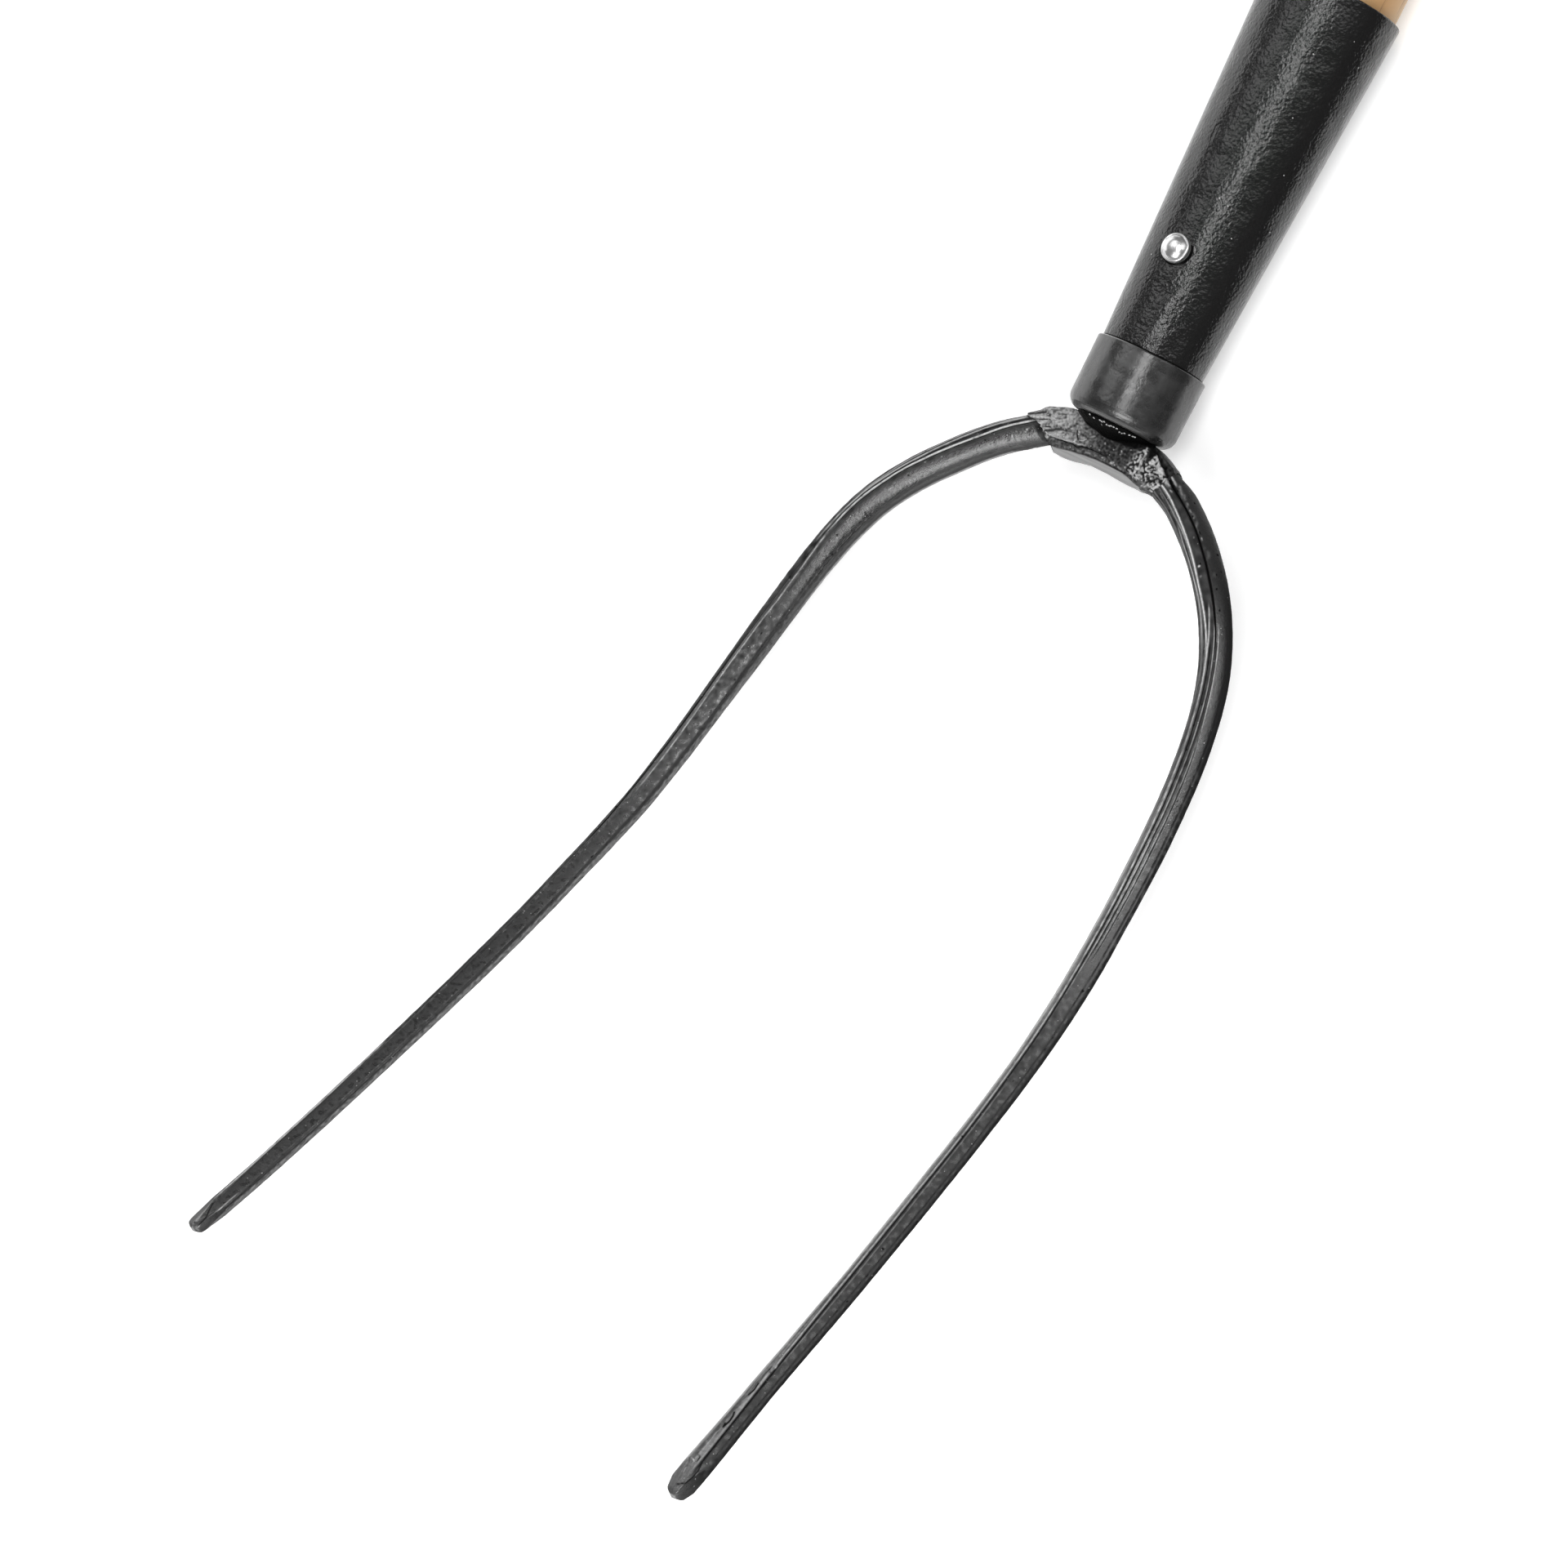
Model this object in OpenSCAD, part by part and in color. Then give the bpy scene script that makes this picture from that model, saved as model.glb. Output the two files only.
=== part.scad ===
// Two-tine hay fork: forged tines on a rough yoke, a capped tapered ferrule and an ash handle.
// X runs along the handle towards its butt, Z points up out of the hollow of the tines.
// The origin is on the handle's axis, where the handle leaves the mouth of the ferrule.

/* [Tine path] */
// Length of each tine along its centreline, from the yoke to the end of its point
tine_len = 338; // [320:1:380]
// Distance of each tine's root from the middle of the fork
root_y = 19; // [16:0.5:24]
// Height of the root's centre below the handle's axis
root_drop = 3.8; // [0:0.1:6]
// Angle in plan between the tine at its root and the handle's axis
root_angle = 57; // [45:1:70]
// Angle in plan at which each straight leg still spreads
leg_angle = 3.2; // [0:0.1:8]
// Straight lead before the shoulder starts to bend
shoulder_start = 6; // [2:0.5:15]
// Length over which the shoulder unbends into the leg
shoulder_len = 190; // [120:1:200]
// How early the shoulder bends: 2 is an even bend, more is tighter near the root
shoulder_skew = 6; // [3:0.5:8]
// Slope of the heel out of the plane of the yoke
heel_pitch = 3.3; // [0:0.1:8]
// Slope of the straight leg
toe_pitch = 32.3; // [20:0.1:40]
// Distance along the tine where the forward sweep starts
sweep_start = 58; // [20:1:100]
// Length over which the forward sweep comes in
sweep_len = 212; // [120:1:240]
// How early the forward sweep bends
sweep_skew = 2.4; // [2:0.1:4]

/* [Tine section] */
// Thickness of the round root
tine_root_w = 9.6; // [8:0.1:12]
// Thickness across the flats of the straight leg
tine_leg_w = 6.1; // [5:0.1:7.5]
// Length over which the tine draws down to the leg's thickness
taper_len = 285; // [160:1:320]
// Length over which the round root is hammered to eight flats
flat_len = 180; // [100:1:280]
// Height of the forged ridge outside the top flat
ridge_h = 0.35; // [0:0.05:0.8]
// Turn of the ridge over the top at the root
ridge_turn = 18; // [0:1:25]
// Length over which the ridge comes back beside the top flat
ridge_len = 130; // [60:1:200]
// Depth of the groove outside the ridge at the shoulder
groove_depth = 0.5; // [0:0.05:0.8]
// Length over which the groove runs out
groove_len = 140; // [60:1:200]
// Length of the ground point
point_len = 10; // [6:0.5:25]
// Width of the blunt square end of the point
point_w = 3.4; // [2.5:0.1:5]
// Chamfer around the blunt end
point_chamfer = 0.5; // [0.2:0.1:1]

/* [Yoke] */
// Height of the yoke in the middle, along the handle's axis
yoke_h = 11.6; // [9:0.1:16]
// Thickness of the yoke
yoke_t = 11; // [9:0.1:14]
// Height of the yoke's middle below the handle's axis
yoke_drop = 2.5; // [0:0.1:5]
// Gap between the cap and the yoke's shoulders
yoke_gap = 0.7; // [0.3:0.1:2]
// Distance of the tines' roots beyond the yoke's middle line
root_set_back = 0.1; // [0:0.1:2]
// Rise of the arch under the yoke
arch_rise = 1.4; // [0:0.1:3]
// Bevel along the arch's upper edge
arch_bevel = 2.4; // [1:0.1:4]
// Rounding of the yoke's other edges
yoke_round = 1.6; // [0.8:0.1:3]
// Radius of the round boss that the ferrule cap sits on
boss_r = 11.8; // [9:0.1:13]
// Length over which the boss runs down into the yoke
boss_len = 5.5; // [3:0.1:7]
// Radius of the tang where it leaves the boss
tang_r = 6.5; // [5:0.1:8]
// Radius of the tang's far end
tang_end_r = 3.2; // [2:0.1:4.5]
// Length of the tang
tang_len = 90; // [70:1:110]

/* [Welds] */
// Thickness of each weld collar where it meets the yoke
weld_leg = 1; // [0.6:0.1:1.6]
// Length of each weld collar along its tine
weld_len = 7; // [4:0.5:12]

/* [Ferrule] */
// Length of the tapered sleeve
sleeve_len = 128.5; // [110:0.5:160]
// Outer diameter of the sleeve at its mouth
sleeve_mouth_d = 39.8; // [36:0.1:42]
// Outer diameter of the sleeve at its small end
sleeve_small_d = 28.5; // [26:0.1:31]
// Wall of the sleeve
sleeve_wall = 1.6; // [1:0.1:2.2]
// Rounding of the sleeve's mouth
mouth_round = 0.6; // [0.2:0.1:0.8]
// Height of the cap
cap_h = 21; // [16:0.5:28]
// Thickness of the cap's floor
cap_floor = 2.5; // [1.5:0.1:4]
// Wall of the cap at its rim
cap_rim_wall = 1; // [0.8:0.1:2]
// Wall of the cap at its floor
cap_foot_wall = 1.6; // [1.2:0.1:3]
// Rounding of the cap's lower corner
cap_round = 4; // [2:0.1:4.5]

/* [Rivet] */
// Distance of the rivet from the cap's rim
rivet_from_rim = 28.5; // [15:0.5:45]
// Radius of the rivet's shank
rivet_r = 2.2; // [1.5:0.1:2.8]
// Radius of the domed head
rivet_head_r = 4.2; // [3.2:0.1:5.5]
// Height of the domed head
rivet_head_h = 2.6; // [1.5:0.1:3.5]
// Radius of the hammered tail
rivet_tail_r = 3.9; // [3:0.1:5]
// Height of the hammered tail
rivet_tail_h = 1.5; // [0.8:0.1:2.5]

/* [Handle] */
// Length of the handle past the mouth of the ferrule
handle_len = 1245; // [900:5:1500]
// Length of the domed butt
butt_len = 14; // [6:0.5:20]
// Radius of the flat in the middle of the butt
butt_flat_r = 9; // [4:0.5:14]

/* [Fits] */
// Gap all round between the wood and the inside of the sleeve
wood_gap = 0.25; // [0.1:0.05:0.4]
// Gap between the sleeve and the cap, and between the rivet and its holes
metal_gap = 0.12; // [0.05:0.01:0.25]
// Gap between the tang and the hole bored for it
tang_gap = 0.25; // [0.1:0.05:0.4]

/* [Hidden] */
$fn = 72;
eps = 0.01;

// Places along the handle's axis
cap_seat = cap_h - cap_floor;
sleeve_small_x = -sleeve_len;
rim_x = sleeve_small_x + cap_seat;
cap_bottom_x = rim_x - cap_h;
yoke_x = cap_bottom_x - yoke_gap - yoke_h / 2;
root_x = yoke_x - root_set_back;
rivet_x = rim_x + rivet_from_rim;

// Sizes that follow from the fits
sleeve_slope = (sleeve_mouth_d - sleeve_small_d) / 2 / sleeve_len;
handle_r = sleeve_mouth_d / 2 - sleeve_wall - wood_gap;
nose_r = sleeve_small_d / 2 - sleeve_wall - wood_gap;
rivet_seat = sleeve_r(rivet_x);
yoke_end = tine_root_w / 2 + weld_leg;

// Mesh of the lofted pieces
body_rings = 76;
point_rings = 4;
yoke_rings = 12;
corner_n = 3;
weld_rings = 6;
weld_skin = 0.1;
weld_lip = 0.35;

// Angles around a tine's section, from its outer side over its top
flat_turn = 45;
flat_reach = 15;
ground_reach = 5;
ridge_angle = 1.5 * flat_turn;

// Outer radius of the sleeve at a place on the axis
function sleeve_r(x) = sleeve_mouth_d / 2 + sleeve_slope * x;

// Smooth step from 0 to 1, flat at both ends, that comes in sooner as skew grows past 2
function ease(t, skew = 2) =
    let (u = share(t)) 1 - pow(1 - u, skew) * (1 + skew * u);
function share(t) = min(max(t, 0), 1);
function mix(a, b, t) = a + (b - a) * t;

// Distance from the middle to a polygon's side at angle a, for sides whose middles are a turn apart
function side_r(inner, a, turn) = inner / cos(abs((a + 360 + turn / 2) % turn - turn / 2));

// Course of the +Y tine: its angle in plan and its slope at a distance s from the root
function heading(s) =
    mix(root_angle, leg_angle, ease((s - shoulder_start) / shoulder_len, shoulder_skew));
function pitch(s) =
    mix(heel_pitch, toe_pitch, ease((s - sweep_start) / sweep_len, sweep_skew));
function course(h, p) = [-cos(h) * cos(p), sin(h) * cos(p), sin(p)];

// Directions across a piece on that course: out to the side, and up out of its top face
function outward(h) = [sin(h), cos(h), 0];
function across(h, p, lean) =
    let (side = outward(h), top = cross(side, course(h, p)))
    [side * cos(lean) + top * sin(lean), top * cos(lean) - side * sin(lean)];

// Points of the centreline at the distances in s, one step at a time
function walk(s, start) = [
    for (i = 0, p = start; i < len(s);
         p = i + 1 < len(s)
             ? p + (s[i + 1] - s[i]) * course(heading((s[i] + s[i + 1]) / 2), pitch((s[i] + s[i + 1]) / 2))
             : p,
         i = i + 1) p
];

// Places around a tine's section as [angle, ridge, groove]: two on each flat, one on the ridge and one
// in the groove; on the ground point, the flats between the four faces shrink to its corners
function section_places(ground) = [
    for (k = [0:360 / flat_turn - 1])
    let (
        mid = k * flat_turn,
        reach = k % 2 == 1 ? mix(flat_reach, ground_reach, ground) : flat_reach,
        first = [mid - reach, 0, 0],
        last = [mid + reach, 0, 0]
    )
    each k == 1 ? [first, [mid - reach / 2, 0, 1], last, [ridge_angle, 1, 0]] : [first, last]
];

// Section that goes from round to eight-sided with flatness, inside a square of the given half width
function forged_section(half, flatness, crest, depth, square, ground = 0) = [
    for (place = section_places(ground))
    let (
        a = place[0],
        forged = mix(half, side_r(half, a, flat_turn), flatness) + crest * place[1] - depth * place[2],
        r = min(forged, side_r(square, a, 90))
    )
    [r * cos(a), r * sin(a)]
];

// Rectangle with round corners, of which the upper one on the arch's side is the bevel
function yoke_section(half_h, half_t, round, bevel) = [
    for (corner = [
        [1, 1, round, 0], [-1, 1, bevel, 90], [-1, -1, round, 180], [1, -1, round, 270]
    ])
    for (i = [0:corner_n])
    let (a = corner[3] + 90 * i / corner_n, r = corner[2])
    [corner[0] * (half_h - r) + r * cos(a), corner[1] * (half_t - r) + r * sin(a)]
];

// A section's points set out in space around a centre
function placed(section, centre, axes) = [
    for (q = section) centre + q[0] * axes[0] + q[1] * axes[1]
];

// Skin through rings of equally many points, closed by end faces or back onto its first ring
module loft(rings, closed = false) {
    n = len(rings[0]);
    m = len(rings);
    sides = [
        for (j = [0:closed ? m - 1 : m - 2], i = [0:n - 1])
        let (k = (j + 1) % m, next = (i + 1) % n)
        [j * n + i, j * n + next, k * n + next, k * n + i]
    ];
    ends = closed ? [] : [[for (i = [n - 1:-1:0]) i], [for (i = [0:n - 1]) (m - 1) * n + i]];
    polyhedron([for (ring = rings) each ring], concat(sides, ends), convexity = 8);
}

// Stations along a tine: the forged bar, the ground point and the chamfer on its end
bar_end = tine_len - point_len;
face_end = tine_len - point_chamfer;
stations = [
    for (i = [0:body_rings]) bar_end * i / body_rings,
    for (i = [1:point_rings]) mix(bar_end, face_end, i / point_rings),
    tine_len
];
centres = walk(stations, [root_x, root_y, -root_drop]);

function bar_half(s) = mix(tine_root_w, tine_leg_w, ease(s / taper_len)) / 2;
function bar_flatness(s) = ease(s / flat_len);
function bar_axes(s) = across(heading(s), pitch(s), ridge_turn * (1 - ease(s / ridge_len)));

// The ridge and the groove rise out of the weld, and the groove runs out along the shoulder
function out_of_weld(s) = ease((s - weld_len) / weld_len);
function bar_ridge(s) = ridge_h * out_of_weld(s);
function bar_groove(s) = groove_depth * out_of_weld(s) * (1 - ease(s / groove_len));

// Half width of the square that the point is ground to, wide open before the point
function ground_half(s) =
    s < bar_end ? tine_root_w
    : s <= face_end ? mix(bar_half(bar_end), point_w / 2, (s - bar_end) / (face_end - bar_end))
    : point_w / 2 - point_chamfer;
function tine_ring(i) =
    let (s = stations[i])
    placed(
        forged_section(
            bar_half(s), bar_flatness(s), bar_ridge(s), bar_groove(s),
            ground_half(s), share((s - bar_end) / point_len)
        ),
        centres[i], bar_axes(s)
    );

// Tine on the +Y side
module tine() {
    loft([for (i = [0:len(stations) - 1]) tine_ring(i)]);
}

module tine_left() {
    color("dimgray") tine();
}

module tine_right() {
    color("dimgray") mirror([0, 1, 0]) tine();
}

// Weld collar round the root of the +Y tine, thick against the yoke and thin along the tine
module weld() {
    s = [for (i = [0:weld_rings]) weld_len * i / weld_rings];
    line = walk(s, [root_x, root_y, -root_drop]);
    function collar(i, extra) =
        placed(
            forged_section(bar_half(s[i]) + extra, bar_flatness(s[i]), 0, 0, tine_root_w),
            line[i], bar_axes(s[i])
        );
    outside = [
        for (i = [0:weld_rings]) collar(i, mix(weld_leg, weld_lip, ease(i / weld_rings)))
    ];
    inside = [for (i = [weld_rings:-1:0]) collar(i, weld_skin)];
    loft(concat(outside, inside), closed = true);
}

module weld_left() {
    color("slategray") weld();
}

module weld_right() {
    color("slategray") mirror([0, 1, 0]) weld();
}

// Ring of the yoke at u, which runs from -1 at the right tine to 1 at the left one
function yoke_ring(u) =
    let (
        out = u * u,
        swell = arch_rise / 2 * pow(sin(180 * abs(u)), 2),
        h = 90 - u * (90 - root_angle),
        centre = [mix(yoke_x, root_x, out) - swell, u * root_y, -mix(yoke_drop, root_drop, out)]
    )
    placed(
        yoke_section(
            mix(yoke_h / 2, yoke_end, out) + swell, mix(yoke_t / 2, yoke_end, out),
            yoke_round, mix(arch_bevel, yoke_round, out)
        ),
        centre, across(h, heel_pitch * u, 0)
    );

// Turns a shape that stands on the Z axis to lie along the handle, its foot at x
module along(x) {
    translate([x, 0, 0]) rotate([0, 90, 0]) children();
}

// Round hole or shank across the handle at the rivet
module across_rivet(r, length) {
    translate([rivet_x, 0, 0]) cylinder(r = r, h = length, center = true);
}

// Rough yoke that carries both tines, with the boss under the cap and the tang in the handle
module yoke() {
    color("gray") difference() {
        union() {
            loft([for (i = [-yoke_rings:yoke_rings]) yoke_ring(i / yoke_rings)]);
            along(cap_bottom_x - boss_len)
                cylinder(r1 = yoke_t / 2, r2 = boss_r, h = boss_len);
            along(cap_bottom_x - boss_len) cylinder(r = tang_r, h = boss_len + eps);
            along(cap_bottom_x) cylinder(r1 = tang_r, r2 = tang_end_r, h = tang_len);
        }
        across_rivet(rivet_r + metal_gap, 4 * tang_r);
    }
}

// Cup under the sleeve, drawn from its axis outwards in half section
module ferrule_cap() {
    foot_r = sleeve_small_d / 2 + metal_gap + cap_foot_wall;
    rim_r = sleeve_r(rim_x) + metal_gap + cap_rim_wall;
    edge = cap_rim_wall / 2;
    color("black") along(cap_bottom_x) difference() {
        rotate_extrude() polygon([
            [0, 0],
            for (a = [-90:10:0]) [foot_r - cap_round + cap_round * cos(a), cap_round + cap_round * sin(a)],
            for (a = [0:15:180]) [rim_r - edge + edge * cos(a), cap_h - edge + edge * sin(a)],
            [sleeve_r(rim_x) + metal_gap, cap_h - edge],
            [sleeve_small_d / 2 + metal_gap, cap_floor],
            [0, cap_floor]
        ]);
        translate([0, 0, -eps]) cylinder(r = tang_r + tang_gap, h = cap_floor + 2 * eps);
    }
}

// Tapered sleeve with a rolled mouth and a hole on each side for the rivet
module ferrule_sleeve() {
    mouth_r = sleeve_mouth_d / 2;
    small_r = sleeve_small_d / 2;
    color("black") difference() {
        along(sleeve_small_x) rotate_extrude() polygon([
            [small_r - sleeve_wall, 0],
            [small_r, 0],
            for (a = [0:15:90])
                [mouth_r - mouth_round + mouth_round * cos(a), sleeve_len - mouth_round + mouth_round * sin(a)],
            [mouth_r - sleeve_wall, sleeve_len]
        ]);
        across_rivet(rivet_r + metal_gap, 2 * sleeve_mouth_d);
    }
}

// Solid of the sleeve's outer cone, grown by a gap, that the rivet's heads are hammered onto
module sleeve_core(gap) {
    along(sleeve_small_x)
        cylinder(r1 = sleeve_small_d / 2 + gap, r2 = sleeve_mouth_d / 2 + gap, h = sleeve_len);
}

// Low dome with its round edge on the sleeve and its top at the given height
module rivet_dome(r, h) {
    ball = (r * r + h * h) / (2 * h);
    sink = sagitta(r);
    translate([rivet_x, 0, rivet_seat - sink]) {
        cylinder(r = r, h = sink + eps);
        translate([0, 0, sink]) intersection() {
            translate([0, 0, h - ball]) sphere(r = ball);
            cylinder(r = r, h = h);
        }
    }
}

// How far the sleeve's round wall falls away under the edge of a head of radius r
function sagitta(r) = rivet_seat - sqrt(rivet_seat * rivet_seat - r * r) + r * sleeve_slope;

module rivet() {
    color("silver") {
        difference() {
            union() {
                rivet_dome(rivet_head_r, rivet_head_h);
                mirror([0, 0, 1]) rivet_dome(rivet_tail_r, rivet_tail_h);
            }
            sleeve_core(metal_gap / 2);
        }
        across_rivet(rivet_r, 2 * (rivet_seat + metal_gap));
    }
}

// Ash handle: a nose that fills the sleeve, a straight shaft and a domed butt
module handle() {
    color("burlywood") difference() {
        along(sleeve_small_x) rotate_extrude() polygon([
            [0, 0],
            [nose_r, 0],
            [handle_r, sleeve_len],
            for (a = [0:6:90])
                [
                    butt_flat_r + (handle_r - butt_flat_r) * cos(a),
                    sleeve_len + handle_len - butt_len + butt_len * sin(a)
                ],
            [0, sleeve_len + handle_len]
        ]);
        along(cap_bottom_x)
            cylinder(r1 = tang_r + tang_gap, r2 = tang_end_r + tang_gap, h = tang_len + tang_gap);
        across_rivet(rivet_r + metal_gap, 2 * sleeve_mouth_d);
    }
}

tine_left();
tine_right();
yoke();
weld_left();
weld_right();
ferrule_cap();
ferrule_sleeve();
rivet();
handle();
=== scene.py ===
from types import SimpleNamespace

import bpy
import numpy as np
from mathutils import Matrix, Vector, noise


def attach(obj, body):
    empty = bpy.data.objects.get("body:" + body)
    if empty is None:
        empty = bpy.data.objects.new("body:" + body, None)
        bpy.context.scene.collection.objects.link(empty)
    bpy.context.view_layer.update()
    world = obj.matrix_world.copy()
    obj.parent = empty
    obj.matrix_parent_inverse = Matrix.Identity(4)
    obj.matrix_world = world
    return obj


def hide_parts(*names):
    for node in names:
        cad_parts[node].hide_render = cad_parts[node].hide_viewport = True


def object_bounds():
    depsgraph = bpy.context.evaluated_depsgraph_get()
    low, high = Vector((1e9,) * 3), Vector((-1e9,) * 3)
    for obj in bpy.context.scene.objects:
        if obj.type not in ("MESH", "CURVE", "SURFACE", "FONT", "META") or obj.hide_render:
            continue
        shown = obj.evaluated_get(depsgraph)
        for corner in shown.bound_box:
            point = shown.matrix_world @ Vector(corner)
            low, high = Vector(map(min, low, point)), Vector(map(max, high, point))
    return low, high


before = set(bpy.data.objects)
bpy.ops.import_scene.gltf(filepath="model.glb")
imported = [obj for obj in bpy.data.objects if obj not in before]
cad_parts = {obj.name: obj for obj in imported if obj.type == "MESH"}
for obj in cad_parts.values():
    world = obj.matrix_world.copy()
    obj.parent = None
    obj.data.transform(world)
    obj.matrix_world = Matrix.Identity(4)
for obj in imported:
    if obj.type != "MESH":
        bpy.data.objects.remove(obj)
cad_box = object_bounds()

# Ash handle. A straight billet of ash, turned round, sanded and rubbed with oil, and driven into
# the ferrule. The eye sees long straight grain, darker late wood lines and a few short pores.
HANDLE_EARLY_WOOD = "#D9B98A"
HANDLE_LATE_WOOD = "#A87C4B"
HANDLE_PORE = "#7A5530"
SWAY_SIZE = 30.0
RING_SPACING = 4.5
PORE_WIDTH = 0.35
PORE_LENGTH = 14.0


def colour(code):
    """The linear colour of an sRGB hex code."""
    parts = [int(code[i : i + 2], 16) / 255 for i in (1, 3, 5)]
    return (*(c / 12.92 if c <= 0.04045 else ((c + 0.055) / 1.055) ** 2.4 for c in parts), 1)


def add(finish, kind, settings={}, links={}):
    """A node with its settings, linked from the first live output of other nodes or from sockets."""
    node = finish.node_tree.nodes.new("ShaderNode" + kind)
    for name, value in settings.items():
        if hasattr(node, name):
            setattr(node, name, value)
    sockets = {socket.identifier: socket for socket in node.inputs}
    for name, value in settings.items():
        if not hasattr(node, name):
            sockets[name].default_value = value
    for name, source in links.items():
        if isinstance(source, bpy.types.Node):
            source = next(socket for socket in source.outputs if socket.enabled)
        finish.node_tree.links.new(source, sockets[name])
    return node


def new_finish(name):
    finish = bpy.data.materials.new(name)
    finish.use_nodes = True
    finish.node_tree.nodes.clear()
    return finish


def per_mm(size):
    """Scale of a texture node, in metres of the object, whose features are about size mm."""
    return 1000 / size


def oiled_ash():
    """Sanded ash under oil: satin, with rings cut lengthwise and short dark pores in them."""
    finish = new_finish("oiled_ash")
    place = add(finish, "TexCoord").outputs["Object"]
    drawn = add(finish, "Mapping", {"Scale": (0.06, 1, 1)}, {"Vector": place})
    bend = add(finish, "TexNoise", {"Scale": per_mm(SWAY_SIZE), "Detail": 2}, {"Vector": drawn})
    bend = bend.outputs["Color"]
    shift = add(finish, "VectorMath", {"operation": "SCALE", "Scale": 0.012}, {"Vector": bend})
    swayed = add(finish, "VectorMath", {"operation": "ADD"}, {"Vector": drawn, "Vector_001": shift})
    rings = add(
        finish,
        "TexWave",
        {"bands_direction": "Y", "Scale": per_mm(RING_SPACING) / 20, "Distortion": 2.5, "Detail": 3},
        {"Vector": swayed},
    )
    late = add(finish, "MapRange", {"From Min": 0.45, "From Max": 1.0}, {"Value": rings.outputs["Fac"]})
    wood = add(
        finish,
        "Mix",
        {"data_type": "RGBA", "A_Color": colour(HANDLE_EARLY_WOOD), "B_Color": colour(HANDLE_LATE_WOOD)},
        {"Factor_Float": late},
    )
    thin = add(finish, "Mapping", {"Scale": (PORE_WIDTH / PORE_LENGTH, 1, 1)}, {"Vector": place})
    pores = add(finish, "TexNoise", {"Scale": per_mm(PORE_WIDTH * 3), "Detail": 2}, {"Vector": thin})
    pored = add(finish, "MapRange", {"From Min": 0.6, "From Max": 0.72}, {"Value": pores})
    dark = {"data_type": "RGBA", "B_Color": colour(HANDLE_PORE)}
    tone = add(finish, "Mix", dark, {"Factor_Float": pored, "A_Color": wood})
    relief = add(finish, "Bump", {"Strength": 0.35, "Distance": 0.0002, "invert": True}, {"Height": pored})
    satin = add(finish, "BsdfPrincipled", {"Roughness": 0.42}, {"Base Color": tone, "Normal": relief})
    add(finish, "OutputMaterial", {}, {"Surface": satin})
    return finish


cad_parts["handle"].material_slots[0].material = oiled_ash()

# Ferrule sleeve. A tapered steel tube dipped in black enamel that dried with an orange-peel skin.
# The skin breaks each reflection into short wavy grains, and a few dust specks stand in it.
MM = 0.001
SLEEVE_BLACK = "#121212"
DUST_PALE = "#B5B5B5"
PEEL_GRAIN = 0.95
PEEL_WAVE = 7.0
DUST_SPACING = 4.0
CAP_EDGE = -110 * MM


def orange_peel_enamel():
    """Black enamel, glossy under a skin of grains that are drawn a little coarser to show, and with
    painted shade in the seam where the sleeve goes into the cap, where its gloss is taken away."""
    finish = new_finish("orange_peel_enamel")
    place = add(finish, "TexCoord").outputs["Object"]
    grain = add(finish, "TexNoise", {"Scale": per_mm(PEEL_GRAIN), "Detail": 2}, {"Vector": place})
    wave = add(finish, "TexNoise", {"Scale": per_mm(PEEL_WAVE), "Detail": 1}, {"Vector": place})
    swell = add(finish, "Bump", {"Strength": 1, "Distance": 0.0005}, {"Height": wave})
    peeled = add(finish, "Bump", {"Strength": 1, "Distance": 0.00024}, {"Height": grain, "Normal": swell})
    dust = add(finish, "TexVoronoi", {"Scale": per_mm(DUST_SPACING)}, {"Vector": place})
    speck = add(finish, "MapRange", {"From Min": 0.05, "From Max": 0.035}, {"Value": dust})
    tone = add(
        finish,
        "Mix",
        {"data_type": "RGBA", "A_Color": colour(SLEEVE_BLACK), "B_Color": colour(DUST_PALE)},
        {"Factor_Float": speck},
    )
    axis = add(finish, "SeparateXYZ", {}, {"Vector": place})
    # Painted shade: a band at the cap's edge loses its gloss, so the gap under the rim reads black.
    far, close = CAP_EDGE + 0.6 * MM, CAP_EDGE + 0.3 * MM
    seam = add(finish, "MapRange", {"From Min": far, "From Max": close}, {"Value": axis})
    gloss = add(finish, "MapRange", {"To Min": 0.5, "To Max": 0.0}, {"Value": seam})
    enamel = add(
        finish,
        "BsdfPrincipled",
        {"Roughness": 0.17, "IOR": 1.5},
        {"Base Color": tone, "Specular IOR Level": gloss, "Normal": peeled},
    )
    add(finish, "OutputMaterial", {}, {"Surface": enamel})
    return finish


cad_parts["ferrule_sleeve"].material_slots[0].material = orange_peel_enamel()

# Ferrule cap. A pressed steel cup over the sleeve's small end, in the same black enamel but
# smoother and more satin. Its skin is clouded by handling and shallowly dented, with a painted
# highlight along the rim on its +Y side.
CAP_BLACK = "#1A1A1A"
CAP_CLOUDED = "#2A2A2A"
# Painted highlight: the pale of a lit line along the cup's rim.
CAP_RIM_HIGHLIGHT = "#9A9A9A"
CLOUD_SIZE = 5.0


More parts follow.
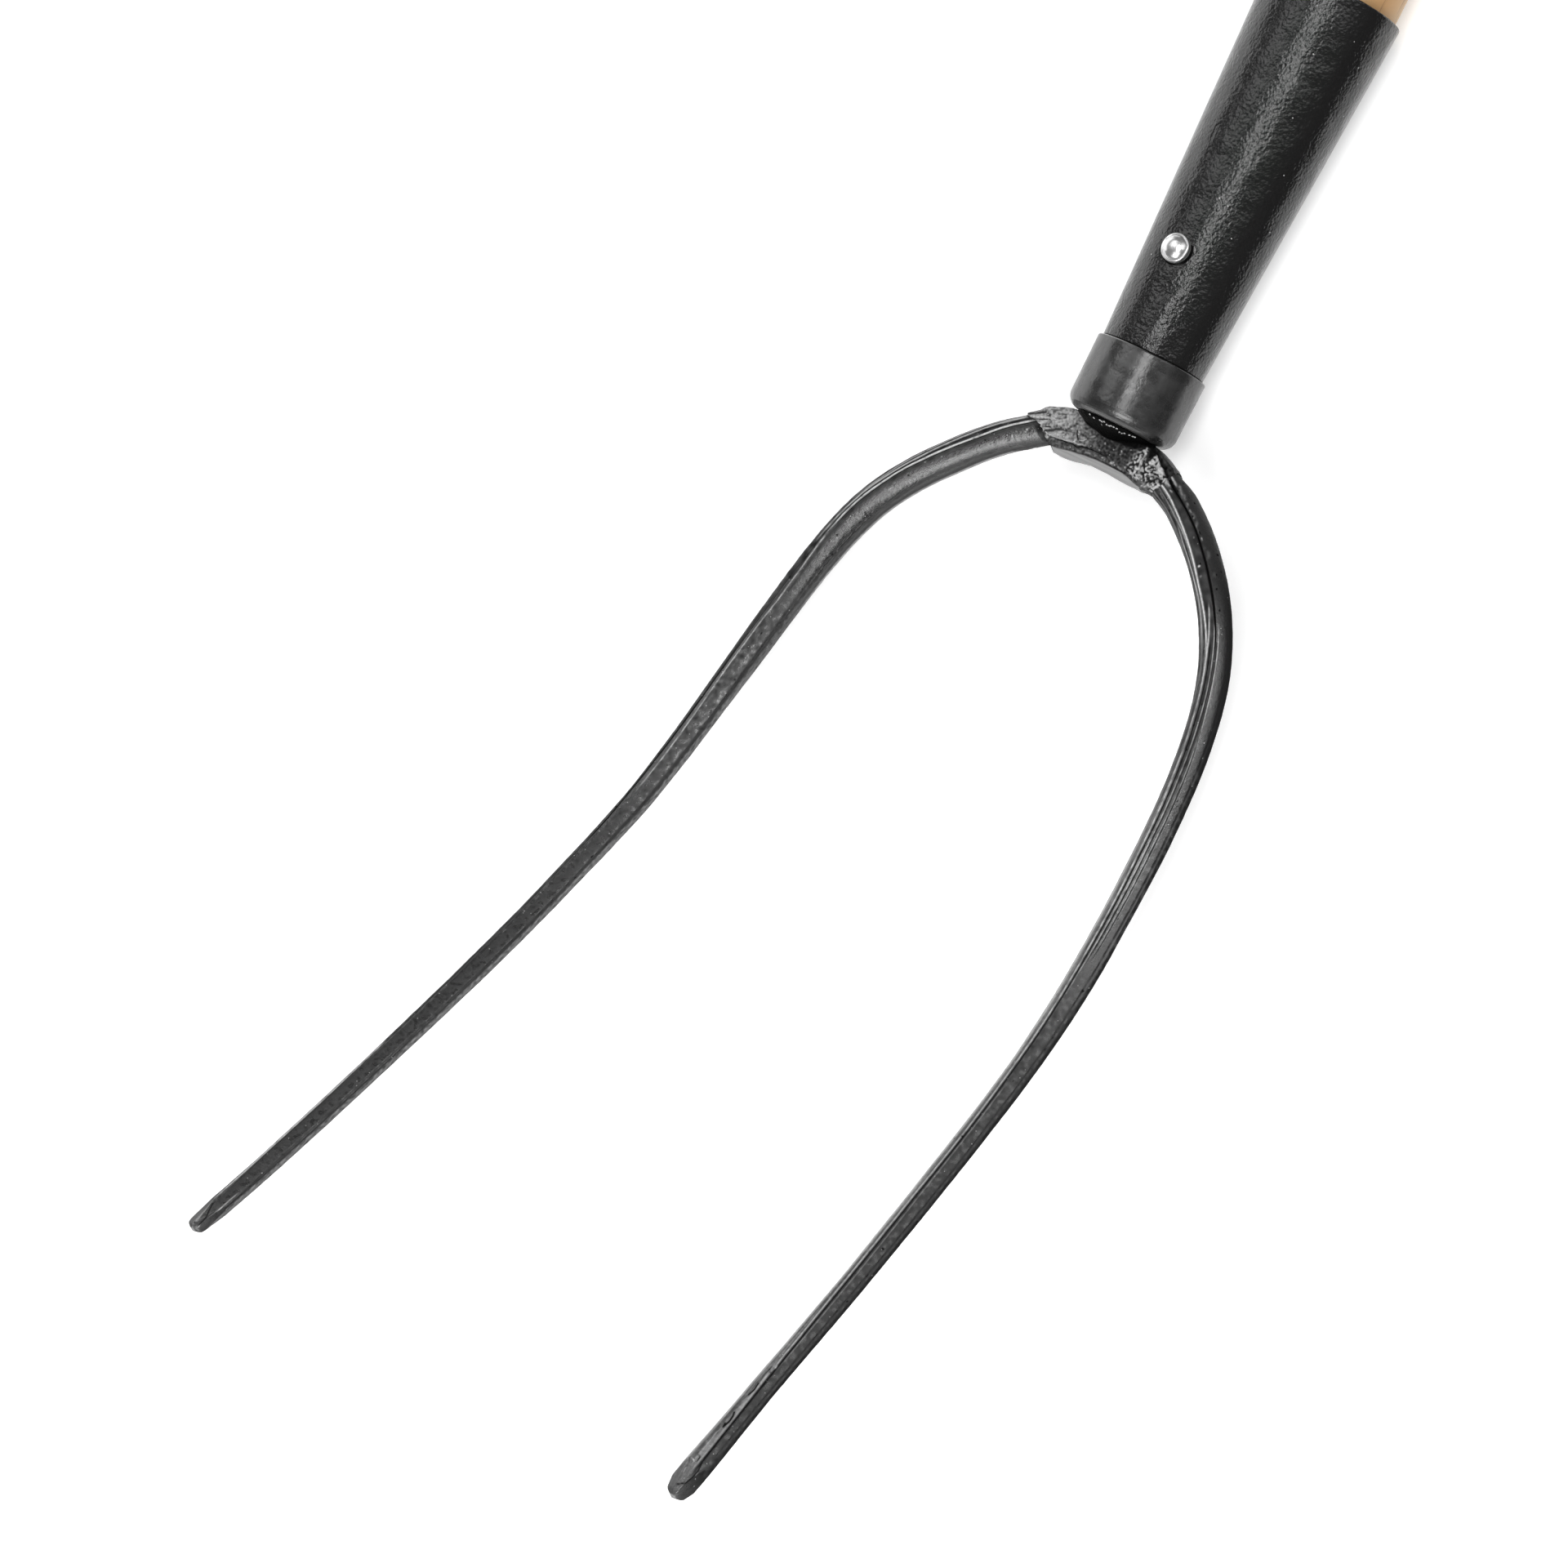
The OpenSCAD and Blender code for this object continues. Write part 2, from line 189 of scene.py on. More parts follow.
def satin_enamel():
    """Smooth black enamel, dull in clouds where it was rubbed, with a painted highlight along the
    cup's rim on its +Y side.
    """
    finish = new_finish("satin_enamel")
    place = add(finish, "TexCoord").outputs["Object"]
    cloud = add(finish, "TexNoise", {"Scale": per_mm(CLOUD_SIZE), "Detail": 4}, {"Vector": place})
    rubbed = add(finish, "MapRange", {"From Min": 0.4, "From Max": 0.65}, {"Value": cloud})
    tone = add(
        finish,
        "Mix",
        {"data_type": "RGBA", "A_Color": colour(CAP_BLACK), "B_Color": colour(CAP_CLOUDED)},
        {"Factor_Float": rubbed},
    )
    axes = add(finish, "SeparateXYZ", {}, {"Vector": place})
    # Painted highlight: the rim is painted pale only toward +Y, where light falls on it, fading across Y.
    inner, outer = CAP_EDGE - 0.4 * MM, CAP_EDGE - 0.1 * MM
    rim = add(finish, "MapRange", {"From Min": inner, "From Max": outer}, {"Value": axes.outputs["X"]})
    highlit_side = add(finish, "MapRange", {"From Min": -6 * MM, "From Max": 2 * MM}, {"Value": axes.outputs["Y"]})
    wear_and_highlight = add(finish, "Math", {"operation": "MULTIPLY"}, {"Value": rim, "Value_001": highlit_side})
    pale = {"data_type": "RGBA", "B_Color": colour(CAP_RIM_HIGHLIGHT)}
    tone = add(finish, "Mix", pale, {"Factor_Float": wear_and_highlight, "A_Color": tone})
    dull = add(finish, "MapRange", {"To Min": 0.24, "To Max": 0.36}, {"Value": rubbed})
    peel = add(finish, "TexNoise", {"Scale": per_mm(PEEL_GRAIN), "Detail": 2}, {"Vector": place})
    peeled = add(finish, "Bump", {"Strength": 0.25, "Distance": 0.0001}, {"Height": peel})
    dents = add(finish, "Bump", {"Strength": 1, "Distance": 0.0003}, {"Height": cloud, "Normal": peeled})
    enamel = add(
        finish, "BsdfPrincipled", {"IOR": 1.7}, {"Base Color": tone, "Roughness": dull, "Normal": dents}
    )
    add(finish, "OutputMaterial", {}, {"Surface": enamel})
    return finish


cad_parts["ferrule_cap"].material_slots[0].material = satin_enamel()

# Rivet. A steel pin through sleeve, wood and tang, with its head set down into a dome and a bright
# rim. The dome mirrors the room and its crown is dimpled. Black enamel has run in round its foot,
# and that black ring is widened on one side as a painted shadow of the head.
RIVET_STEEL = "#DADADA"
ENAMEL_AND_SHADOW_BLACK = "#050505"
RIVET_X = -81.5
SLEEVE_AT_RIVET = 16.32
PIN_RADIUS, HEAD_RADIUS, TAIL_RADIUS, TAIL_HEIGHT = 2.2, 4.2, 3.9, 1.5
RIVET_CROWN = [(0.02, 2.6), (0.8, 2.56), (1.6, 2.4), (2.3, 2.12), (2.9, 1.72), (3.3, 1.3), (3.5, 1.0),
               (3.62, 0.72), (3.7, 0.72), (3.78, 1.0), (3.92, 1.0), (4.1, 0.75), (4.2, 0.4), (4.2, 0.0)]
DIMPLE_SIZE = 0.7


def skin(name, rings, finish, masks):
    """Closed mesh through rings of points in mm, with painted masks on its points."""
    m, n = rings.shape[:2]
    j, i = np.meshgrid(np.arange(m - 1), np.arange(n), indexing="ij")
    nxt = (i + 1) % n
    quads = np.stack([j * n + i, j * n + nxt, (j + 1) * n + nxt, (j + 1) * n + i], -1).reshape(-1, 4)
    faces = quads.tolist() + [list(range(n - 1, -1, -1)), list(range((m - 1) * n, m * n))]
    mesh = bpy.data.meshes.new(name)
    mesh.from_pydata((rings.reshape(-1, 3) * MM).tolist(), [], faces)
    mesh.shade_smooth()
    for label, values in masks.items():
        layer = mesh.attributes.new(label, "FLOAT", "POINT")
        layer.data.foreach_set("value", np.broadcast_to(values, (m, n)).astype(np.float32).ravel())
    mesh.materials.append(finish)
    mesh.validate()
    piece = bpy.data.objects.new(name, mesh)
    bpy.context.scene.collection.objects.link(piece)
    return piece


def polished_steel():
    """Bright steel: almost a mirror, with shallow dimples on its crown, and black round its foot for
    enamel and a painted shadow.
    """
    finish = new_finish("polished_steel")
    place = add(finish, "TexCoord").outputs["Object"]
    # The enamel mask also marks the painted shadow round the rivet's foot.
    enamel = add(finish, "Attribute", {"attribute_name": "enamel"}).outputs["Fac"]
    dimples = add(finish, "TexNoise", {"Scale": per_mm(DIMPLE_SIZE), "Detail": 3}, {"Vector": place})
    crown = add(finish, "Bump", {"Strength": 0.5, "Distance": 0.0001}, {"Height": dimples})
    tone = add(
        finish,
        "Mix",
        {"data_type": "RGBA", "A_Color": colour(RIVET_STEEL), "B_Color": colour(ENAMEL_AND_SHADOW_BLACK)},
        {"Factor_Float": enamel},
    )
    metal = add(finish, "Math", {"operation": "SUBTRACT", "Value": 1}, {"Value_001": enamel})
    gloss = add(finish, "MapRange", {"To Min": 0.5, "To Max": 0.05}, {"Value": enamel})
    steel = add(
        finish,
        "BsdfPrincipled",
        {"Roughness": 0.3},
        {"Base Color": tone, "Metallic": metal, "Specular IOR Level": gloss, "Normal": crown},
    )
    add(finish, "OutputMaterial", {}, {"Surface": steel})
    return finish


def rivet(finish):
    """The set rivet: its crown, the enamel and painted shadow round its foot, its pin and its hammered tail.
    """
    around = np.linspace(2 * np.pi, 0, 160, endpoint=False)
    head, foot = SLEEVE_AT_RIVET, -SLEEVE_AT_RIVET

    # Each ring has its radius, its height and whether it is painted black, for enamel and painted shadow.
    rings = [(radius, head + height, 0) for radius, height in RIVET_CROWN]
    # Painted shadow: the black ring is wider on one side, where the head's shadow falls on the sleeve.
    for reach, lift in ((0.0, 0.1), (0.85, 0.08), (1.0, -0.3)):
        radius = HEAD_RADIUS + 0.02 + reach * (0.58 - 0.3 * np.sin(around - 0.4))
        rings.append((radius, np.sqrt(head**2 - (radius * np.sin(around)) ** 2) + lift, 1))
    rings += [(PIN_RADIUS, head - 1.5, 0), (PIN_RADIUS, foot + 1.5, 0), (TAIL_RADIUS, foot + 0.6, 0)]
    for t in np.radians([0, 20, 40, 60, 80, 89]):
        rings.append((TAIL_RADIUS * np.cos(t), foot - TAIL_HEIGHT * np.sin(t), 0))
    points = [
        np.stack(np.broadcast_arrays(RIVET_X + r * np.cos(around), r * np.sin(around), z), -1)
        for r, z, _ in rings
    ]
    enamel_and_shadow = np.array([[painted_black] for *_, painted_black in rings])
    piece = skin("rivet_set", np.array(points), finish, {"enamel": enamel_and_shadow})
    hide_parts("rivet")
    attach(piece, "root")


rivet(polished_steel())

# Tines. Each is one steel bar, drawn out and hammered from a round root to a blunt square toe, bent
# over a former and blacked hot. Rolling left sharp edges, seams and fine lines along it. Its ridges and
# lower edge carry painted highlights and its skin painted glints, and its seams, grooves, hollows and
# flanks are darkened by soot and painted shade.
TINE_ROOT = (-137.6, 19.0, -3.8)
ROOT_ANGLE, LEG_ANGLE = 57.0, 3.2
SHOULDER_START, SHOULDER_LENGTH, SHOULDER_SKEW = 6.0, 190.0, 6.0
HEEL_PITCH, TOE_PITCH = 3.3, 32.3
SWEEP_START, SWEEP_LENGTH, SWEEP_SKEW = 58.0, 212.0, 2.4
ROOT_WIDTH = 9.6
RING_STEP, SECTION_POINTS = 0.5, 224
TOE_LENGTH, TOE_ROUNDING, TOE_SQUARENESS = 9.5, 1.2, 26
RIDGE_HEIGHT, SEAM_DEPTH, GROOVE_DEPTH, PIT_DEPTH = 0.16, 0.24, 0.95, 0.4
LINE_DEPTH, HAMMER_DEPTH, MOTTLE_DEPTH, RIPPLE_DEPTH = 0.09, 0.07, 0.05, 0.09
PINCH_ANGLE, PINCH_WIDTH, PINCH_DEPTH = -18, 48, 1.6
SWELL_ANGLE, SWELL_WIDTH, SWELL_HEIGHT = 155, 50, 1.3
SCALE_GRAIN = 0.8
PATCH_SIZE = 5.0
SPECK_GLINT_SPACING = 2.2
TINE_BLACK = "#131313"
# Painted highlights share the pale of bare steel.
TINE_BARE_AND_HIGHLIGHT = "#E2E2E2"
# Painted glints: the pale of the small specks.
SPECK_GLINT_PALE = "#B8B8B8"
# Painted shade shares the black of soot.
SOOT_AND_SHADE_BLACK = "#060606"

# The two bars as they came off the anvil, in mm and degrees, by distance from the root. half is half
# the bar's width, sway how far it strays, front the angle of its upper front, face that of a flat, toe
# half the width of the ground end, and edge where the inner side begins. A line or mark has its points
# along and across the front, then its width and its strength. The bright lines are ridges painted pale
# as highlights, the dark lines seams painted black as shade, the patches bare spots and painted glints,
# and the dents dark marks of painted shade, with no dent in the shape. lined, wear_and_highlight, rim,
# faded and upper are the strengths of the inner side's lines, of its wear and painted highlight, of the
# painted reflection along the rim, of the fading of the painted shade on the flanks, and of the painted
# shade on the upper flank. leg and rippled say where the painted shade of the legs and the ripples
# begin, and over how much.
LEFT_BAR = {
    "length": 341.0, "face": 107.0, "toe": 1.6,
    "lined": 0.22, "wear_and_highlight": 0.0, "rim": 1.0, "faded": 0.2, "upper": 1.0,
    "leg": (62, 40),
    "rippled": [(5, 2, 12, 12), (55, 10, 85, 25)],
    "half": [(0, 4.6), (15, 4.7), (30, 4.85), (70, 4.8), (90, 4.55), (110, 4.4), (130, 4.05), (165, 3.65),
             (190, 3.45), (230, 3.3), (270, 3.1), (315, 2.95), (341, 2.9)],
    "sway": [(0, 0.45), (15, 0.3), (31, -0.8), (45, -0.4), (57, 0.2), (68, 0.1), (90, -0.35), (130, -0.2),
             (163, -0.65), (190, -0.15), (230, -0.35), (270, -0.75), (290, -0.8), (315, -0.65),
             (333, -0.1), (341, 0.25)],
    "front": [(0, 110.5), (24, 112.6), (54, 118.5), (84, 120.4), (174, 122.5), (264, 124.5), (341, 124.5)],
    "edge": [(0, 3.5), (12, 3.25), (16, 2.9), (20, 2.4), (25, 2.1), (32, 2.05), (38, 2.2), (45, 2.7),
             (52, 3.0), (58, 3.4), (65, 3.3), (72, 3.1), (85, 2.1), (95, 1.9), (105, 2.2), (120, 2.3),
             (140, 1.8), (160, 1.4), (341, 1.4)],
    "bright": [
        ([(0, 3.5), (12, 3.25), (16, 2.9), (20, 2.4), (25, 2.1), (32, 2.05), (38, 2.2), (45, 2.7),
          (52, 3.0), (58, 3.4), (65, 3.35), (74, 3.1)], 0.19, 1.0),
        ([(0, 4.7), (15, 4.3), (20, 3.9), (25, 3.5), (30, 3.25), (38, 3.15), (45, 3.4), (55, 4.0),
          (65, 4.1), (78, 3.8)], 0.15, 0.8),
        ([(5, 4.9), (17, 4.65), (25, 4.05), (35, 3.75), (50, 4.1), (62, 4.6)], 0.12, 0.5),
        ([(72, 2.9), (85, 2.1), (95, 1.9), (105, 2.2), (120, 2.3), (130, 2.0), (140, 1.75), (150, 1.45),
          (165, 1.35)], 0.16, 0.62),
        ([(266, 2.1), (284, 1.9), (300, 1.92), (320, 2.02), (335, 2.35)], 0.13, 0.85),
        ([(326, -0.9), (333, -0.7), (340, -0.3)], 0.16, 0.5),
    ],
    "dark": [
        ([(0, 3.1), (12, 2.87), (16, 2.52), (20, 2.02), (25, 1.72), (32, 1.67), (38, 1.82), (45, 2.32),
          (52, 2.62), (60, 3.0), (74, 2.75)], 0.17, 1.0),
        ([(0, 4.25), (15, 3.85), (20, 3.45), (25, 3.05), (30, 2.8), (38, 2.75), (45, 3.0), (55, 3.65),
          (65, 3.75), (80, 3.2), (100, 3.1), (115, 3.2), (172, 2.5), (185, 2.5)], 0.16, 0.9),
        ([(100, 3.6), (115, 3.5), (172, 2.6), (200, 2.75), (230, 2.6), (250, 2.2), (290, 1.6), (320, 1.7),
          (332, 1.6)], 0.16, 0.8),
        ([(60, -1.9), (75, -2.0), (100, -2.4), (140, -2.5), (160, -2.6), (175, -2.2), (215, -1.9),
          (250, -1.8), (290, -1.9), (328, -1.8)], 0.32, 0.45),
        ([(331, 1.8), (334, 1.4), (336.5, 0.3), (340, -0.1)], 0.22, 0.9),
    ],
    "dents": [
        ([(333, 1.6), (335, 0.9), (337, 0.1), (339.4, -0.2)], 0.26, 0.95),
        ([(339.8, 1.9), (340.4, 0.6)], 0.35, 0.8), ([(131.5, -1.2), (132.3, -1.7)], 0.5, 0.6),
        ([(193, -1.0), (193.4, -1.4)], 0.3, 0.6), ([(212.6, -1.4)], 0.35, 0.6),
    ],
    "smoked": [(-4.6, 2.3), (-2.3, 3.2), (-0.4, 3.8), (1.15, 4.3), (2.7, 4.9), (4.0, 6.1), (4.7, 7.2)],
    "patches": [
        ([(339.7, -0.6), (340.1, -0.9)], 0.2, 1.0), ([(331.8, -0.85), (333.4, -0.8)], 0.16, 0.8),
        ([(6.7, 1.5), (7.5, 0.7)], 0.2, 0.7), ([(6.9, -0.7), (7.2, -1.1)], 0.3, 0.3),
        ([(9.1, 1.0), (9.3, 0)], 0.2, 0.3), ([(10.1, 1.2), (10.4, 0)], 0.2, 0.35),
        ([(11.2, 1.1), (11.6, -0.3)], 0.24, 0.3), ([(12.3, 3.9), (12.8, 3.6)], 0.2, 0.5),
        ([(18.2, -0.8)], 0.12, 0.6), ([(32.9, 0.5)], 0.16, 0.7), ([(38, 1.2)], 0.14, 0.6),
        ([(50.2, 0.2), (50.8, 0.1)], 0.18, 0.5),
    ],
}
RIGHT_BAR = {
    "length": 337.6, "face": 56.0, "toe": 1.75,
    "lined": 0.8, "wear_and_highlight": 0.1, "rim": 0.0, "faded": 0.5, "upper": 0.9,
    "leg": (108, 70),
    "rippled": [],
    "half": [(0, 4.75), (20, 4.8), (40, 4.7), (60, 4.45), (80, 4.2), (110, 4.15), (135, 3.92),
             (145, 3.98), (160, 3.85), (180, 3.6), (220, 3.45), (265, 3.25), (300, 3.25), (315, 3.45),
             (326, 3.7), (338, 3.7)],
    "sway": [(0, 0.3), (14, 0.08), (30, 0.3), (40, 0.2), (50, -0.05), (60, -0.25), (70, -0.18),
             (80, 0.12), (100, 0.48), (120, 0.55), (135, 0.3), (145, 0), (160, -0.35), (180, -0.4),
             (200, -0.15), (220, 0.05), (265, -0.25), (300, 0.05), (338, 0)],
    "front": [(0, 76.3), (24, 73.7), (54, 66.3), (84, 63.6), (114, 62.8), (174, 61.2), (234, 59.3),
              (338, 59)],
    "edge": [(0, 3.0), (4, 2.1), (8, 1.9), (12, 2.1), (25, 2.8), (35, 3.3), (42, 3.0), (54, 2.3),
             (75, 2.9), (90, 3.15), (115, 3.05), (145, 2.35), (172, 1.8), (215, 1.95), (230, 2.1),
             (275, 1.5), (312, 0.5), (338, 0)],
    "bright": [
        ([(-2, 4.0), (0, 3.1), (1.5, 2.5), (4, 2.1), (8, 1.9), (12, 2.1), (18, 2.4), (25, 2.8), (32, 3.2),
          (36, 3.3), (42, 3.0), (48, 2.7), (58, 2.2)], 0.19, 1.0),
        ([(16, 3.5), (22, 4.0), (28, 4.2), (34, 4.1), (40, 3.9), (50, 3.8), (56, 3.7)], 0.15, 0.55),
        ([(42, 1.4), (50, 1.8), (58, 2.3), (65, 2.5), (75, 2.9), (90, 3.15), (115, 3.05), (130, 2.7),
          (145, 2.35), (160, 1.95), (172, 1.8), (200, 1.85), (215, 1.95), (230, 2.1), (250, 1.85),
          (275, 1.5), (298, 1.1)], 0.2, 0.68),
        ([(48, 0.3), (65, 0.8), (75, 1.2), (90, 1.6), (110, 1.75), (125, 1.5), (140, 1.3),
          (160, 1.1)], 0.15, 0.55),
        ([(48, -0.9), (70, -0.1), (85, 0.2), (110, 0.5), (125, 0.3), (148, 0.1)], 0.15, 0.5),
        ([(190, 0.7), (215, 0.9), (230, 0.9), (255, 0.5), (270, 0.4), (296, 0.35)], 0.18, 0.25),
    ],
    "dark": [
        ([(0, 2.6), (4, 1.7), (8, 1.5), (12, 1.7), (18, 2.0), (25, 2.4), (32, 2.75), (38, 2.75),
          (48, 2.2)], 0.16, 0.6),
        ([(52, 1.5), (60, 1.75), (75, 2.3), (95, 2.55), (115, 2.6), (130, 2.2), (145, 1.9), (160, 1.55),
          (172, 1.35), (200, 1.4), (215, 1.5), (230, 1.65), (250, 1.4), (275, 1.0), (295, 0.65),
          (312, 0.25), (326, -0.1), (335, -0.5)], 0.21, 1.0),
        ([(48, 0.0), (65, 0.45), (75, 0.85), (90, 1.25), (110, 1.4), (125, 1.1), (150, 0.7)], 0.16, 0.8),
        ([(52, -0.3), (70, 0.2), (85, 0.0), (110, 0.2), (125, 0.1), (150, -0.1)], 0.16, 0.8),
        ([(52, -3.9), (60, -3.7), (75, -3.2), (90, -2.4), (105, -2.1), (135, -2.2), (150, -2.4),
          (172, -2.5), (200, -2.1), (235, -2.1), (290, -2.0), (326, -2.0)], 0.35, 0.5),
    ],
    "groove": [(-2, -0.6), (2, -0.25), (5, -0.1), (10, -0.4), (15, -0.55), (20, -0.5), (25, -0.2),
               (30, 0.0), (35, 0.15), (45, 0.1), (60, 0.0)],
    "smoked": [(-4.6, -1), (4.6, -1)],
    "dents": [
        ([(294, 1.85), (297, 1.95), (299.5, 1.75)], 0.13, 0.8),
        ([(300, 1.75), (302.2, 1.55), (304.4, 1.85)], 0.24, 1.0), ([(307.2, 1.9), (308.4, 1.9)], 0.16, 0.6),
        ([(310.6, 1.75), (311.6, 1.4), (313.4, 1.2), (315.6, 1.55), (314.6, 1.75)], 0.3, 1.0),
        ([(327, -0.2), (329.5, -0.8), (332, -0.7), (334.2, -0.35)], 0.24, 0.9),
        ([(334.3, -0.3), (334.9, 1.0), (335.3, 2.4)], 0.34, 0.95),
    ],
    "patches": [
        ([(329.9, -1.0), (330.7, -1.05)], 0.16, 0.9), ([(328.4, -0.9)], 0.16, 0.6),
        ([(330.6, 3.0), (331.6, 2.8)], 0.2, 0.6), ([(292.8, 1.1), (293.6, 0.95)], 0.2, 0.9),
        ([(-1.3, 1.4), (0.6, 1.3), (2.4, 0.9), (4.4, 0.6)], 0.3, 0.85),
        ([(5.9, 1.0), (6.4, 0.8)], 0.22, 0.6),
        ([(-0.3, -1.2), (1.6, -1.1), (3.2, -1.1), (5.2, -1.1)], 0.34, 0.75),
        ([(5.9, -1.8), (7.2, -1.5), (8.6, -1.4)], 0.42, 0.45), ([(9.2, -1.7), (10.2, -1.4)], 0.42, 0.4),
        ([(11.6, -1.5), (12.3, -1.4)], 0.3, 0.4), ([(13.8, -1.2), (14.4, -1.3)], 0.24, 0.5),
        ([(16.4, -1.3)], 0.24, 0.5), ([(19.2, -1.0)], 0.2, 0.6), ([(22.8, -1.1), (23.4, -1.0)], 0.2, 0.65),
        ([(25.8, -1.0)], 0.18, 0.8), ([(30.4, 2.4), (30.6, 1.6)], 0.1, 1.0),
        ([(33.5, 2.5), (33.6, 2.0)], 0.1, 0.7), ([(36.7, 2.7), (36.8, 2.0)], 0.1, 1.0),
        ([(22.0, 0.8)], 0.22, 0.6), ([(5, 3.5), (6.6, 3.6)], 0.15, 0.4),
    ],
}


def ease(t, skew=2.0):
    """Smooth step from 0 to 1 that comes in sooner as skew grows past 2."""
    u = np.clip(t, 0, 1)
    return 1 - (1 - u) ** skew * (1 + skew * u)


def blend(a, b, t):
    return a + (b - a) * t


def past(place, start, over):
    """0 before a place along a piece and 1 beyond it, in a smooth step over a length."""
    return ease((place - start) / over)


def share(value):
    """A value held between 0 and 1."""
    return np.clip(value, 0, 1)


def peak(off, width):
    """1 on a line and 0 away from it, for how far off it is and how wide it is."""
    return np.exp(-((off / width) ** 2))


def near(a, middle, width):
    """1 at the middle angle and 0 away from it, all in degrees."""
    return peak((a - middle + 180) % 360 - 180, width)


def follow(place, points, soft):
    """A value along a piece through pairs of place and value, with its corners eased over a length."""
    fine = np.linspace(points[0][0] - soft, points[-1][0] + soft, 1200)
    reach = int(soft / (fine[1] - fine[0])) // 2
    window = np.hanning(2 * reach + 3)
    drawn = np.pad(np.interp(fine, *zip(*points)), reach + 1, "edge")
    return np.interp(place, fine, np.convolve(drawn, window / window.sum(), "valid"))


def heading(s):
    """Angle of the +Y tine in plan, from straight ahead to its outside, at places s from its root."""
    turned = ease((s - SHOULDER_START) / SHOULDER_LENGTH, SHOULDER_SKEW)
    return np.radians(blend(ROOT_ANGLE, LEG_ANGLE, turned))


def pitch(s):
    """Slope of the tines at places s from their root."""
    raised = ease((s - SWEEP_START) / SWEEP_LENGTH, SWEEP_SKEW)
    return np.radians(blend(HEEL_PITCH, TOE_PITCH, raised))


def course(turn, slope):
    """Unit steps along a bar for its angle in plan and its slope."""
    return np.stack([-np.cos(turn) * np.cos(slope), np.sin(turn) * np.cos(slope), np.sin(slope)], -1)


def bar_axes(turn, slope):
    """Directions across a bar: out to its side, and up out of its top."""
    side = np.stack([np.sin(turn), np.cos(turn), np.zeros_like(turn)], -1)
    return side, np.cross(side, course(turn, slope))


def bar_line(s):
    """Points of the +Y tine's centreline, in mm, at even places s from its root."""
    middle = (s[1:] + s[:-1]) / 2
    steps = np.diff(s)[:, None] * course(heading(middle), pitch(middle))
    return np.array(TINE_ROOT) + np.vstack([np.zeros(3), np.cumsum(steps, 0)])


def grain_noise(points, size, seed):
    """Smooth noise from -1 to 1 at points in mm, with features of a size in mm."""
    start = Vector((seed * 17.3, seed * 5.1, seed * 29.7))
    flat = (points / size).reshape(-1, 3)
    return np.array([noise.noise(Vector(p) + start) for p in flat]).reshape(points.shape[:-1])


def marked(x, y, marks):
    """How strongly marks, each a run of points with its width and its strength, cover places."""
    cover = np.zeros_like(x)
    for points, width, strength in marks:
        for (x0, y0), (x1, y1) in zip(points, points[1:] or points):
            run = max((x1 - x0) ** 2 + (y1 - y0) ** 2, 1e-9)
            t = np.clip(((x - x0) * (x1 - x0) + (y - y0) * (y1 - y0)) / run, 0, 1)
            gap = np.hypot(x - blend(x0, x1, t), y - blend(y0, y1, t))
            cover = np.maximum(cover, strength * peak(gap, width))
    return cover


def blacked_steel():
    """Hot-blacked steel: near black and half glossy, pale where it is worn bare and where highlights are
    painted, and black where it is sooty and where shade is painted in its grooves. Its scale is rough
    near the yoke, and smoother where the hammer drew the bar out."""
    finish = new_finish("blacked_steel")
    place = add(finish, "TexCoord").outputs["Object"]
    masks = [add(finish, "Attribute", {"attribute_name": name}) for name in ("bare_and_highlight", "soot_and_shade", "worked")]
    bare_and_highlight, soot_and_shade, worked = (mask.outputs["Fac"] for mask in masks)
    grain = {"Scale": per_mm(SCALE_GRAIN), "Detail": 4, "Roughness": 0.65}
    scale = add(finish, "TexNoise", grain, {"Vector": place})
    patches = add(finish, "TexNoise", {"Scale": per_mm(PATCH_SIZE), "Detail": 3}, {"Vector": place})
    spread = {"From Min": 0.35, "From Max": 0.65, "To Min": 0.7, "To Max": 1.1}
    mottle = add(finish, "MapRange", spread, {"Value": scale})
    product = {"operation": "MULTIPLY", "use_clamp": True}
    # The pale of bare steel also carries the painted highlights.
    rubbed = add(finish, "Math", product, {"Value": bare_and_highlight, "Value_001": mottle})
    steels = {"data_type": "RGBA", "A_Color": colour(TINE_BLACK), "B_Color": colour(TINE_BARE_AND_HIGHLIGHT)}
    tone = add(finish, "Mix", steels, {"Factor_Float": rubbed})
    # Painted glints: small pale specks scattered over the steel.
    speck_glint_cells = add(finish, "TexVoronoi", {"Scale": per_mm(SPECK_GLINT_SPACING)}, {"Vector": place})
    speck = add(finish, "MapRange", {"From Min": 0.085, "From Max": 0.05}, {"Value": speck_glint_cells})
    for code, cover in ((SPECK_GLINT_PALE, speck), (SOOT_AND_SHADE_BLACK, soot_and_shade)):
        layer = {"data_type": "RGBA", "B_Color": colour(code)}
        tone = add(finish, "Mix", layer, {"Factor_Float": cover, "A_Color": tone})
    spread = {"From Min": 0.3, "From Max": 0.7, "To Min": 0.18, "To Max": 0.27}
    sheen = add(finish, "MapRange", spread, {"Value": patches})
    dull = add(finish, "Math", {"operation": "MAXIMUM"}, {"Value": sheen, "Value_001": soot_and_shade})
    # Soot and painted shade take the gloss away, so they go black.
    gloss = add(finish, "MapRange", {"To Min": 0.5, "To Max": 0.03}, {"Value": soot_and_shade})
    relief = add(finish, "Bump", {"Distance": 0.0002}, {"Height": scale, "Strength": worked})
    steel = add(
        finish,
        "BsdfPrincipled",
        {"IOR": 1.95},
        {"Base Color": tone, "Roughness": dull, "Specular IOR Level": gloss, "Normal": relief},
    )
    add(finish, "OutputMaterial", {}, {"Surface": steel})
    return finish


